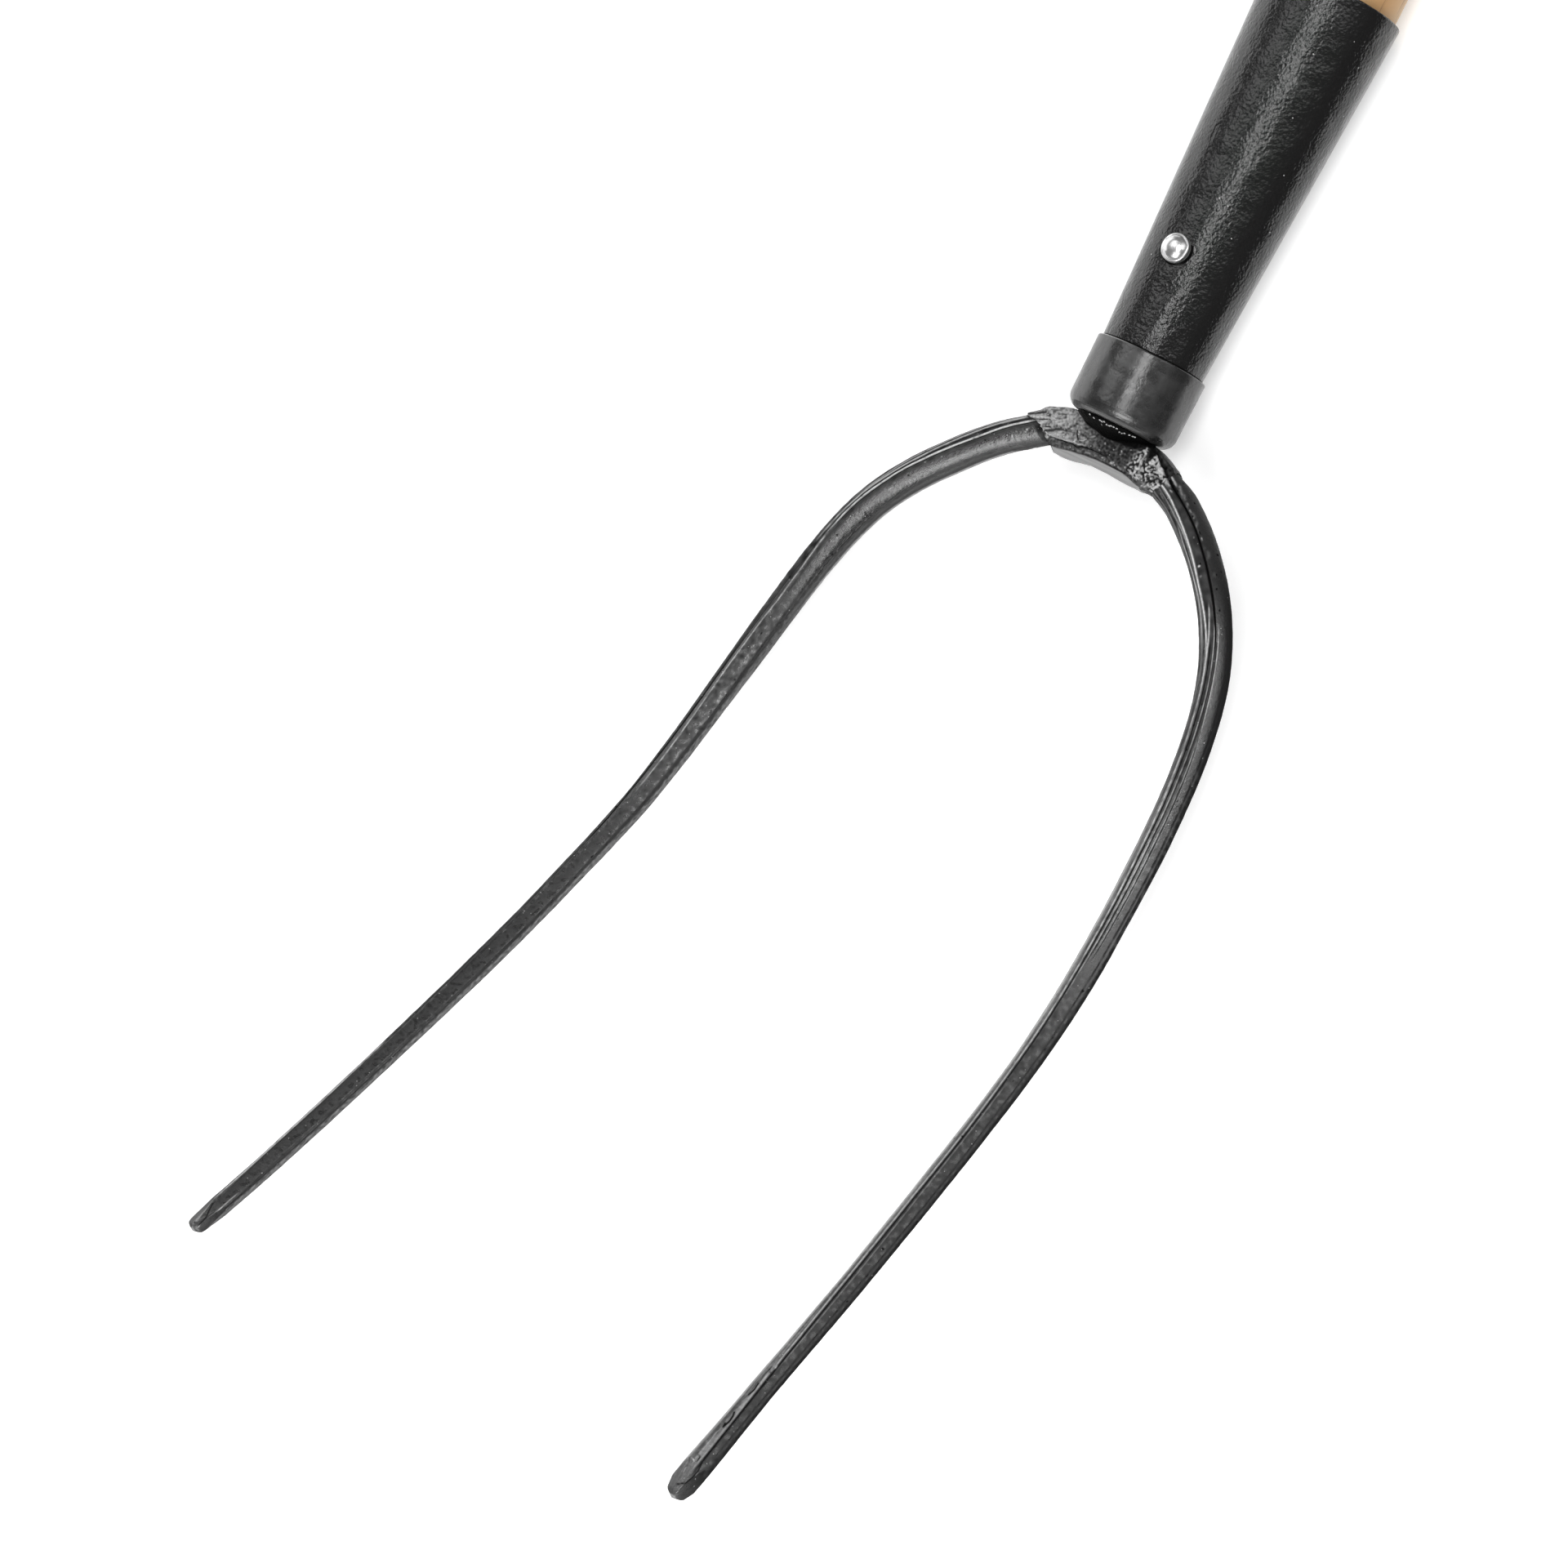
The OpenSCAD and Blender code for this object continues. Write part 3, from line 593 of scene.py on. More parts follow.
def set_around(centre, axes, radius, angle):
    """Points at radii and angles around centres, in the plane of two axes."""
    out, up = (radius * np.cos(angle))[..., None], (radius * np.sin(angle))[..., None]
    return centre + out * axes[0] + up * axes[1]


def rounded_square(angle, power):
    """Radius at an angle of a section of radius 1: round at a power of 2, and squarer past it."""
    return (np.abs(np.cos(angle)) ** power + np.abs(np.sin(angle)) ** power) ** (-1 / power)


def bar_form(bar, side, s, around):
    """The plain bar: its centre and axes, its half width, its sway, its radius all round, and where
    each point lies across its upper front."""
    axes = bar_axes(heading(s), pitch(s))
    half, sway, front = (follow(s, bar[name], 14)[:, None] for name in ("half", "sway", "front"))
    lean, face, angle = np.radians(front - side * 90), np.radians(bar["face"]), np.radians(around)
    centre = bar_line(s) + sway * (np.cos(lean) * axes[0] + np.sin(lean) * axes[1])
    squared = blend(2.0, 5.0, past(s[:, None], 60, 90))
    broad = squared / (squared - 1)
    radius = half * rounded_square(lean - face, broad) * rounded_square(angle - face, squared)
    across = sway + radius * np.cos(angle - lean)
    return SimpleNamespace(centre=centre, axes=axes, half=half, sway=sway, radius=radius, across=across)


def bar_grain(seed, along, around, form):
    """The bar's uneven skin, each kind as a noise with its features in mm."""
    angle = np.radians(around)
    section = np.stack([along, form.radius * np.cos(angle), form.radius * np.sin(angle)], -1)
    drawn = np.stack([along / 60, angle * form.half, np.full_like(along, seed)], -1)
    return SimpleNamespace(
        lines=grain_noise(drawn, 0.5, seed + 1) + 0.6 * grain_noise(drawn * (3, 1, 1), 0.27, seed + 4),
        hammered=grain_noise(section * (1, 2, 2), 14, seed + 2),
        pits=share(-grain_noise(section, 1.0, seed + 3) - 0.6),
        mottle=grain_noise(section, 2.0, seed + 5),
        broken=np.clip(0.75 + 0.9 * grain_noise(section * (0.6, 1, 1), 1.1, seed + 6), 0.2, 1),
        ripples=grain_noise(section * (1, 0.45, 0.45), 1.0, seed + 9),
        clouds=grain_noise(section, 1.3, seed + 12),
        flecks=grain_noise(section, 0.6, seed + 13),
    )


def scored(along, across, lines):
    """How strongly lines drawn along the bar cover places on it."""
    cover = 0 * along
    for points, width, strength in lines:
        held = past(along, points[0][0] - 1, 3) * ease((points[-1][0] - along) / 9)
        cover = cover + strength * peak(across - follow(along, points, 5), width) * held
    return cover


def bar_marks(bar, along, across, around, mottle):
    """Where the bar's lines, seams and inner side lie, and on the right bar the groove of its root, the
    lip and the smear beside it, the pinched and swollen sides, and the flat near its toe."""
    edge = across - follow(along, bar["edge"], 5)
    mark = SimpleNamespace(
        bright=scored(along, across, bar["bright"]), dark=scored(along, across, bar["dark"]), edge=edge,
        inside=ease(edge / 0.4), groove=0, below=0, lip=0, pinch=0, swell=0, flat=0,
    )
    if "groove" in bar:
        over = across - follow(along, bar["groove"], 5)
        width = blend(0.6, 0.26, past(along, 0, 12)) * (1 - 0.6 * past(along, 30, 30))
        mark.over = over
        mark.groove = peak(over, width) * (1 - past(along, 44, 14))
        mark.below = ease((-over - 0.25) / 0.3) * (1 - past(along, 34, 26))
        mark.lip = past(over, 0.3, 0.2) * ease((1.6 - across) / 0.5) * (1 - past(along, 2, 3))
        mark.pinch = near(around, PINCH_ANGLE, PINCH_WIDTH) * (1 - past(along, -1, 10))
        mark.swell = near(around, SWELL_ANGLE, SWELL_WIDTH) * (1 - past(along, -1, 11))
        mark.flat = past(along, 292, 6) * ease(edge / 0.15)
        mark.flat *= ease((2.05 + 0.25 * mottle - across) / 0.15) * ease((329 - along) / 4)
    return mark


def bar_hollow_shade(along, across, grain, mark):
    """Painted shade in the hollows between the ridges of the shoulder."""
    if "over" in vars(mark):
        soot_and_shade = 0.66 * past(mark.over, 0.2, 0.3) * ease((-mark.edge - 0.1) / 0.3) * (1 - mark.lip)
        soot_and_shade = soot_and_shade + 0.62 * past(mark.edge, 0.3, 0.4) * np.clip(0.8 - 1.3 * grain.lines, 0, 1.3)
    else:
        soot_and_shade = 0.75 * past(mark.edge, 0.1, 0.3) + 0.62 * peak(mark.edge + 0.95, 0.75)
        soot_and_shade = soot_and_shade + 0.5 * peak(across + 3.1, 0.8)
    shoulder = past(along, 1, 5) * (1 - past(along, 80, 50)) * (1 - share(1.2 * mark.bright))
    return soot_and_shade * shoulder * np.clip(0.9 + 0.4 * grain.mottle, 0, 1.2)


def bar_colour(bar, along, form, grain, mark, lined, ground):
    """How pale and how black the bar's skin is, for its wear and painted highlights and for its soot and
    painted shade, and how rough its scale was left.
    """
    across, bright = form.across, share(mark.bright)
    # Painted reflection: a pale line along the bar's lower contour, as strong as its rim value.
    rim = peak(across - form.sway + 0.95 * form.half, 0.22) * bar["rim"]
    rim = rim * past(along, 10, 6) * (1 - past(along, 80, 20))
    clouds = grain.clouds * past(along, 65, 40)

    # Pale paint: painted highlights along the bright lines and the rim, with wear on the inner lines, the
    # lip, the smear and the flat.
    bare_and_highlight = bright * share(grain.broken + 0.35 * (along < 60) + 0.3 * (along > 165))
    bare_and_highlight = bare_and_highlight + 0.6 * share(0.9 * grain.lines + 0.12) * lined
    smeared = mark.below * np.clip(1.6 * grain.mottle - 0.1, 0, 0.75) * peak(across + 1.1, 0.6)
    bare_and_highlight = bare_and_highlight + smeared * (1 - past(along, 20, 20))
    bare_and_highlight = bare_and_highlight + 0.5 * rim * grain.broken + 0.9 * mark.lip + 0.14 * mark.flat
    # Wear and painted highlight on the inner face past 150 mm.
    bare_and_highlight = bare_and_highlight + bar["wear_and_highlight"] * mark.inside * past(along, 150, 60)
    bare_and_highlight = blend(bare_and_highlight + np.clip(0.16 * clouds, 0, 0.1), 0.1, ground)

    # Black paint: soot and painted shade in the dark lines, the groove, between the inner lines, in the pits
    # and below the groove.
    soot_and_shade = share(mark.dark) + 1.3 * mark.groove + share(-1.3 * grain.lines - 0.2) * lined + 5 * grain.pits
    soot_and_shade = soot_and_shade + 0.62 * mark.below * (1 - mark.lip)
    soot_and_shade = soot_and_shade + 3 * (np.abs(grain.mottle) < 0.1) * mark.flat * (1 - mark.flat)
    # Painted shade: the flanks darken away from the front.
    flank = 0.62 * past(np.abs(across - form.sway) / form.half, 0.5, 0.35)
    flank = flank * (1 - share(mark.bright + 0.5 * rim)) * (1 - bar["faded"] * past(along, 90, 40))
    flank = flank * np.where(across > 0, bar["upper"], 1)
    # Painted shade along the legs.
    leg = (1 - mark.inside) * (1 - ground) * past(along, *bar["leg"]) * (1 - bright)
    leg = leg * np.clip(0.5 + 0.45 * clouds - 0.12 * peak(across + 0.8, 1.3), 0, 0.8)
    for layer in (leg, flank, bar_hollow_shade(along, across, grain, mark)):
        soot_and_shade = np.maximum(soot_and_shade, layer)

    smoked = 1 - ease((along - np.interp(across, *zip(*bar["smoked"])) + 0.4 * grain.mottle) / 0.7)
    # The patches are bare spots and painted glints.
    patches = marked(along, across, bar["patches"]) * share(0.8 + 0.9 * grain.flecks)
    # Painted shade: the dents are only dark marks, with no dent in the shape.
    dents = marked(along, across, bar["dents"])
    bare_and_highlight = np.maximum(bare_and_highlight, patches) * (1 - dents)
    soot_and_shade = np.maximum(soot_and_shade * (1 - patches), (0.72 + 0.25 * grain.mottle) * smoked)
    soot_and_shade = np.maximum(soot_and_shade, dents)
    return {"bare_and_highlight": share(bare_and_highlight), "soot_and_shade": share(soot_and_shade), "worked": 1 - 0.55 * past(along, 85, 40)}


def on_side(side, rings, masks):
    """Rings and masks made for the +Y side, turned to face outward there or mirrored to the -Y side."""
    if side < 0:
        return rings * (1, -1, 1), masks
    return rings[:, ::-1], {label: values[:, ::-1] for label, values in masks.items()}


def tine(node, side, seed, finish, bar):
    """One tine from its root to its ground toe, on the +Y side for 1 and the -Y side for -1."""
    s = np.linspace(0, bar["length"], int(bar["length"] / RING_STEP) + 1)
    along, around = np.meshgrid(s, np.linspace(0, 360, SECTION_POINTS, endpoint=False), indexing="ij")
    form = bar_form(bar, side, s, around)
    grain = bar_grain(seed, along, around, form)
    mark = bar_marks(bar, along, form.across, around, grain.mottle)
    lined = bar["lined"] * mark.inside * (1 - 0.5 * past(along, 60, 60))

    radius = form.radius + RIDGE_HEIGHT * share(mark.bright) - SEAM_DEPTH * share(mark.dark)
    radius = radius - GROOVE_DEPTH * mark.groove - PINCH_DEPTH * mark.pinch + SWELL_HEIGHT * mark.swell
    radius = radius + LINE_DEPTH * grain.lines * lined + HAMMER_DEPTH * grain.hammered
    radius = radius + MOTTLE_DEPTH * grain.mottle - PIT_DEPTH * grain.pits
    for start, over, end, out in bar["rippled"]:
        held = past(along, start, over) * (1 - past(along, end, out))
        radius = radius + RIPPLE_DEPTH * held * grain.ripples

    left = bar["length"] - along
    ground = share(1 - left / TOE_LENGTH)
    toe = blend(form.half, bar["toe"], ground)
    toe = toe * rounded_square(np.radians(around - bar["face"] - 45), TOE_SQUARENESS)
    radius = np.where(ground > 0, np.minimum(radius, toe), radius)
    radius = radius * np.sqrt(1 - 0.75 * share(1 - left / TOE_ROUNDING) ** 2)

    axes = [axis[:, None] for axis in form.axes]
    rings = set_around(form.centre[:, None], axes, radius, np.radians(around))
    rings, masks = on_side(side, rings, bar_colour(bar, along, form, grain, mark, lined, ground))
    piece = skin(node + "_forged", rings, finish, masks)
    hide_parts(node)
    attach(piece, "root")


black_steel = blacked_steel()
tine("tine_left", 1, 1, black_steel, LEFT_BAR)
tine("tine_right", -1, 2, black_steel, RIGHT_BAR)

# Yoke. A short forged arch between the tines, with a boss under the cap and a tang in the handle.
# Its skin is rough, pitted scale, pale where it was struck and where light is painted on its top, with a
# smooth ground bevel on the arch. Shade is painted black in its hollows, scores and gully, and the cap's
# shadow is painted black across its middle and over the boss.
YOKE_MIDDLE = (-137.5, 0.0, -2.5)
TOP_FACE = 5.5
HANDLE_SIDE = [(-1, 3.7), (-0.86, 4.9), (-0.7, 6.1), (-0.56, 6.7), (-0.3, 6.0), (0.3, 6.0), (0.56, 7.0),
               (0.7, 6.7), (0.84, 6.0), (1, 5.3)]
LIP = [(-1.1, -5.2), (-0.76, -4.6), (-0.5, -3.5), (-0.2, -2.6), (-0.06, -2.1), (0.1, -2.0), (0.35, -2.2),
       (0.45, -2.8), (0.6, -2.9), (0.8, -3.5), (1.1, -4.0)]
BEVEL_TOP = [(-1, -7.0), (-0.9, -6.5), (-0.8, -5.9), (-0.68, -5.1), (-0.53, -4.5), (-0.26, -4.1),
             (0, -4.0), (0.26, -4.3), (0.53, -4.9), (0.8, -5.9), (1, -6.6)]
BEVEL_FOOT = [(-1, -7.4), (-0.9, -7.5), (-0.74, -7.2), (-0.53, -6.7), (-0.26, -6.1), (0, -5.95),
              (0.17, -5.9), (0.41, -6.6), (0.68, -7.5), (0.85, -7.9), (1, -8.0)]
YOKE_STEP = 0.2
YOKE_EASE, LIP_EASE = 0.16, 0.12
STRUCK_HEIGHT, SCORE_DEPTH, GULLY_DEPTH, LEDGE_DEPTH = 0.16, 0.26, 1.0, 0.1
TOOTH_SPACING = 0.95
BOSS_FOOT, BOSS_TOP, COVE_HEIGHT = -136.5, -131.0, 4.7
BOSS_RADIUS, BOSS_CORE, TANG_RADIUS, TANG_END_RADIUS, TANG_LENGTH = 11.8, 2.0, 6.5, 3.2, 90.0
BEAD_RADIUS, BEAD_HEIGHT = 0.32, 0.4
CRUST_GRAIN = 0.8
# Painted glints: small pale specks on the scale.
GLINT_SPACING = 3.4
GRINDING_WIDTH = 0.6
SCALE_BLACK = "#101010"
SCALE_PALE = "#C4C4C4"
GLINT_PALE = "#D0D0D0"
GROUND_DARK = "#6E6E6E"
GROUND_PALE = "#A2A2A2"

# Marks on the yoke's front, in mm along it from the middle toward the left tine and across it toward
# the handle, as they are seen from the camera, which looks at it with its sight tilted. LIT is how
# pale the top is painted, for worn scale and painted light, CAP_SHADOW_EDGE where the cap's painted
# shadow begins on it, and RIGHT_GULLY the hollow before the right weld, painted black as shade. The
# others each have their points, their width and their strength: the pale marks are struck scale and
# painted highlights, and the black marks scores and painted shade.
SIGHT_TILT = 30.0
LIT = [(-23, 0.4), (-15, 0.42), (-12, 0.36), (-10, 0.26), (-8.5, 0.1), (-4, 0.08), (0, 0.1), (3, 0.17),
       (6, 0.3), (9, 0.42), (12, 0.58), (25, 0.62)]
CAP_SHADOW_EDGE = [(-16, 7.0), (-14.5, 4.6), (-13.8, 3.2), (-13, 1.6), (-12.3, 2.6), (-11.5, 4.4), (-10.5, 4.6),
         (-9.6, 3.6), (-8, 2.4), (-4, 2.2), (0, 2.1), (3, 2.6), (7, 3.3), (8.5, 4.4), (9.5, 6.4), (11, 9)]
RIGHT_GULLY = [(-23, 1.1), (-19.2, 1.45), (-18, 2.2), (-16.5, 3.25), (-15, 4.25), (-13.2, 5.6), (-12, 6.6)]
PALE_MARKS = [
    ([(24.6, 3.0), (23, 2.7), (21.5, 2.3), (19.5, 1.7), (18.3, 1.4)], 0.36, 1.0),
    ([(18, 0.9), (16.5, 1.5), (15, 2.2)], 0.36, 0.85),
    ([(20.6, -2.2), (19.5, -3.2), (18.6, -3.2), (17.2, -2.3), (15.8, -1.8)], 0.2, 1.0),
    ([(18.4, -3.2), (16, -3.0), (13, -2.6), (10, -2.1), (8, -2.1), (6.5, -1.6)], 0.32, 0.72),
    ([(21, -0.9), (20, -1.3), (19, -1.5)], 0.18, 0.9),
    ([(20.4, 4.2), (19.4, 4.4), (17, 4.9), (14, 5.9), (12, 6.3)], 0.2, 0.7),
    ([(18.4, 3.0), (18.1, 3.5)], 0.22, 0.9), ([(11.6, 1.1), (10.5, 1.25)], 0.24, 0.8),
    ([(13.8, 0.2)], 0.24, 0.9), ([(14, -0.65)], 0.2, 0.8), ([(12.5, -0.9)], 0.3, 0.7),
    ([(15, 0.7)], 0.25, 0.8), ([(8.8, 1.2)], 0.2, 0.95), ([(8.9, 0.45), (8.6, 0.4)], 0.24, 0.95),
    ([(8.5, 2.8), (8.3, 2.4)], 0.2, 0.7), ([(7.8, -1.0), (6.7, -0.55), (5.9, 0.1)], 0.2, 0.9),
    ([(5.0, 0.9), (4.4, 1.3), (3.7, 1.8)], 0.3, 0.55), ([(5.1, -0.2)], 0.25, 0.6),
    ([(0.1, 1.3), (-0.1, 0.95)], 0.18, 0.9), ([(0.8, -1.2), (0.5, -1.2)], 0.28, 0.7),
    ([(-3.2, 0.5)], 0.2, 0.85), ([(-5.4, 1.1), (-5.7, 0.85)], 0.17, 0.95), ([(-5.8, 0)], 0.22, 0.6),
    ([(-7.6, 2.4)], 0.2, 0.8), ([(0, 3.4)], 0.25, 0.35), ([(7.6, -3.7), (6.6, -3.6)], 0.3, 0.4),
    ([(4.6, -3.3), (3.2, -3.1)], 0.34, 0.5), ([(1.3, -3.1)], 0.35, 0.4),
    ([(-1.2, -2.75), (-1.6, -2.65)], 0.2, 0.7), ([(-2.3, -3.0)], 0.35, 0.45),
    ([(-4.8, -3.1), (-5.5, -2.8)], 0.4, 0.75), ([(-7.6, -3.3), (-9, -3.7)], 0.3, 0.5),
    ([(9.4, -4.1)], 0.3, 0.5), ([(13, -4.7)], 0.3, 0.45), ([(17, -5.1), (16, -4.9)], 0.3, 0.4),
    ([(19, -4.4), (17.6, -4.0)], 0.14, 0.6),
    ([(21.4, -4.1), (20.8, -5.1), (20, -6.1), (19.3, -7.0)], 0.24, 0.75),
    ([(-14, 4.5), (-14.8, 3.7), (-15.5, 3.1), (-16.2, 2.6)], 0.24, 1.0),
    ([(-16.5, 2.2), (-17.3, 1.6), (-18.2, 1.0), (-19.6, 0.3)], 0.34, 0.95),
    ([(-15, 0.9), (-16.3, 1.2), (-17.2, 0.7), (-18.6, -0.2)], 0.4, 0.6),
    ([(-20.2, -0.5), (-21.4, 0.05), (-23, 0.2)], 0.26, 0.85),
    ([(-11, 3.9), (-11.4, 3.1), (-11.8, 2.2), (-11.8, 1), (-12.3, 0), (-12.7, -0.8)], 0.26, 0.75),
    ([(-12.7, -0.8), (-13.3, -1.7), (-14.2, -2.6), (-15.2, -3.6), (-16.4, -4.4)], 0.36, 0.72),
    ([(-13.9, -3.4), (-14.9, -4.3), (-15.7, -5.0)], 0.2, 1.0), ([(-13.2, -3.8), (-14.2, -4.9)], 0.2, 0.7),
    ([(-16.6, -2.1), (-17.6, -1.9), (-18.8, -1.7)], 0.22, 0.85),
    ([(-17.2, -2.7), (-18.6, -2.6)], 0.3, 0.55), ([(-20, -2.15), (-21.3, -2.3)], 0.2, 1.0),
    ([(-20.6, -2.8), (-19.9, -3.6)], 0.16, 0.8),
    ([(-22, -2.0), (-21.2, -3.4), (-20, -4.9), (-19, -6.2)], 0.42, 0.8),
    ([(-18.2, -5.2), (-19, -5.6)], 0.4, 0.6), ([(-10.2, 0.75)], 0.22, 0.95), ([(-9.6, -2.7)], 0.3, 0.8),
    ([(-11.4, -3.0)], 0.26, 0.85), ([(-14.1, 3.2)], 0.2, 1.0), ([(-10.8, 2.5)], 0.26, 0.8),
    ([(-11.8, -2.3)], 0.2, 0.7), ([(-14.8, 0)], 0.24, 0.7), ([(-15.5, -0.8)], 0.3, 0.7),
    ([(-10.4, 3.6)], 0.24, 0.6), ([(-12.4, -3.8)], 0.3, 0.5), ([(-13.5, -1.4)], 0.3, 0.6),
    ([(-17.3, -3.8)], 0.3, 0.6),
]
BLACK_MARKS = [
    ([(25, 4.0), (23, 3.8), (21.5, 3.75), (20.2, 3.6)], 0.34, 0.8),
    ([(24.5, 2.6), (23.4, 2.1), (22.3, 1.85), (21, 1.55), (20, 1.3), (19, 1.15)], 0.12, 0.85),
    ([(20.5, -0.65), (19, -1.0)], 0.12, 1.0),
    ([(20.6, -1.8), (19.3, -2.1), (18, -1.6), (17, -0.9), (15.5, -0.4), (14, 0.1), (13, 0.1)], 0.42, 0.72),
    ([(13, 0.1), (11, 0.3), (10, 0.5)], 0.34, 0.45),
    ([(9.5, 1.4), (9.4, 0.5), (9.0, -0.3), (8.6, -1)], 0.2, 1.0), ([(15.2, 5.6), (14.3, 5.9)], 0.18, 0.85),
    ([(16.2, 3.7), (14.8, 4.2), (13.6, 4.5)], 0.12, 0.75), ([(17.2, 2.2), (15.8, 2.7)], 0.1, 0.75),
    ([(18.4, 4.3), (17, 4.6), (15.4, 5.1)], 0.12, 0.6), ([(10.4, 3.0), (9.9, 3.1)], 0.13, 0.9),
    ([(16.4, -3.8), (14, -3.3), (12, -3.2), (10, -2.75), (9.6, -3.1), (8.3, -3.15), (6.8, -2.4),
      (4.5, -2.1), (2, -1.95), (-1.2, -2.1)], 0.24, 1.0), ([(14.3, -4.2), (14.4, -5.1)], 0.5, 0.6),
    ([(19, -5.0), (19, -6.2)], 0.7, 0.55), ([(20.8, -3.8), (20.2, -4.9), (19.5, -6.0)], 0.3, 0.9),
    ([(10, -4.7), (5, -4.0), (0, -3.75), (-5, -3.85), (-10, -4.3), (-13, -4.75), (-15, -5.4),
      (-16.6, -6.1)], 0.16, 0.8), ([(-12.6, 3.4), (-12.9, 2.2), (-13.3, 1.2)], 0.5, 0.85),
    ([(-16.8, -1.0), (-18, -1.1), (-19.5, -0.9)], 0.24, 0.8),
    ([(-19.8, -1.4), (-19.3, -3.2), (-18.9, -4.2)], 0.36, 0.85),
    ([(-20, -1.2), (-21.6, -1.2), (-23, -0.8)], 0.3, 0.9), ([(-10, -3.4), (-10.6, -4.1)], 0.4, 0.7),
    ([(-16.2, 0.9), (-16.8, 0.6)], 0.18, 0.8), ([(-16.2, -0.6)], 0.25, 0.8), ([(-15.2, 0)], 0.2, 0.7),
    ([(-17.6, -4.2)], 0.25, 0.8), ([(-13, -5.0), (-15, -5.6), (-17, -6.6)], 0.2, 0.6),
]

# Beads of spatter in the corner under the cap: degrees round the boss from its front toward the
# left tine, and the place along the handle's axis in mm.
SPATTER = [(17, -131.6), (10, -132.0), (-1, -131.9), (-2, -132.6), (-4, -132.0), (-8, -131.8),
           (-12, -132.2), (-16, -132.2), (-19, -132.0), (-23, -132.0), (-28, -132.0), (-34, -132.4),
           (-38, -132.4), (-41, -132.2), (-48, -132.0), (-53, -131.9), (-56, -131.8)]


def forge_scale():
    """Fire scale: rough, black with soot and painted shade, pale on what was struck or ground and where
    light is painted, with painted glints.
    """
    finish = new_finish("forge_scale")
    place = add(finish, "TexCoord").outputs["Object"]
    masks = [add(finish, "Attribute", {"attribute_name": name}) for name in ("bare_and_highlight", "soot_and_shade", "ground")]
    bare_and_highlight, soot_and_shade, ground = (mask.outputs["Fac"] for mask in masks)
    grain = {"Scale": per_mm(CRUST_GRAIN), "Detail": 5, "Roughness": 0.65}
    crust = add(finish, "TexNoise", grain, {"Vector": place})
    spread = {"From Min": 0.36, "From Max": 0.64, "To Min": 0.6, "To Max": 1.2}
    flakes = add(finish, "MapRange", spread, {"Value": crust})
    product = {"operation": "MULTIPLY", "use_clamp": True}
    pale = add(finish, "Math", product, {"Value": bare_and_highlight, "Value_001": flakes})
    scales = {"data_type": "RGBA", "A_Color": colour(SCALE_BLACK), "B_Color": colour(SCALE_PALE)}
    tone = add(finish, "Mix", scales, {"Factor_Float": pale})
    # Painted glints: small pale specks on the scale.
    glint_cells = add(finish, "TexVoronoi", {"Scale": per_mm(GLINT_SPACING)}, {"Vector": place})
    glint = add(finish, "MapRange", {"From Min": 0.07, "From Max": 0.045}, {"Value": glint_cells})
    for code, cover in ((GLINT_PALE, glint), (SOOT_AND_SHADE_BLACK, soot_and_shade)):
        layer = {"data_type": "RGBA", "B_Color": colour(code)}
        tone = add(finish, "Mix", layer, {"Factor_Float": cover, "A_Color": tone})
    drawn = add(finish, "Mapping", {"Scale": (1, 0.04, 1)}, {"Vector": place})
    brushed = add(finish, "TexNoise", {"Scale": per_mm(GRINDING_WIDTH), "Detail": 2}, {"Vector": drawn})
    steels = {"data_type": "RGBA", "A_Color": colour(GROUND_DARK), "B_Color": colour(GROUND_PALE)}
    bevel = add(finish, "Mix", steels, {"Factor_Float": brushed})
    layers = {"Factor_Float": ground, "A_Color": tone, "B_Color": bevel}
    tone = add(finish, "Mix", {"data_type": "RGBA"}, layers)
    spread = {"From Min": 0.3, "From Max": 0.7, "To Min": 0.34, "To Max": 0.6}
    dull = add(finish, "MapRange", spread, {"Value": crust})
    gloss = add(finish, "MapRange", {"To Min": 0.5, "To Max": 0.02}, {"Value": soot_and_shade})
    level = {"data_type": "FLOAT", "B_Float": 0.5}
    smooth = add(finish, "Mix", level, {"Factor_Float": ground, "A_Float": crust})
    relief = add(finish, "Bump", {"Strength": 1, "Distance": 0.0002}, {"Height": smooth})
    scale = add(
        finish,
        "BsdfPrincipled",
        {"IOR": 1.6},
        {"Base Color": tone, "Roughness": dull, "Specular IOR Level": gloss, "Normal": relief},
    )
    add(finish, "OutputMaterial", {}, {"Surface": scale})
    return finish


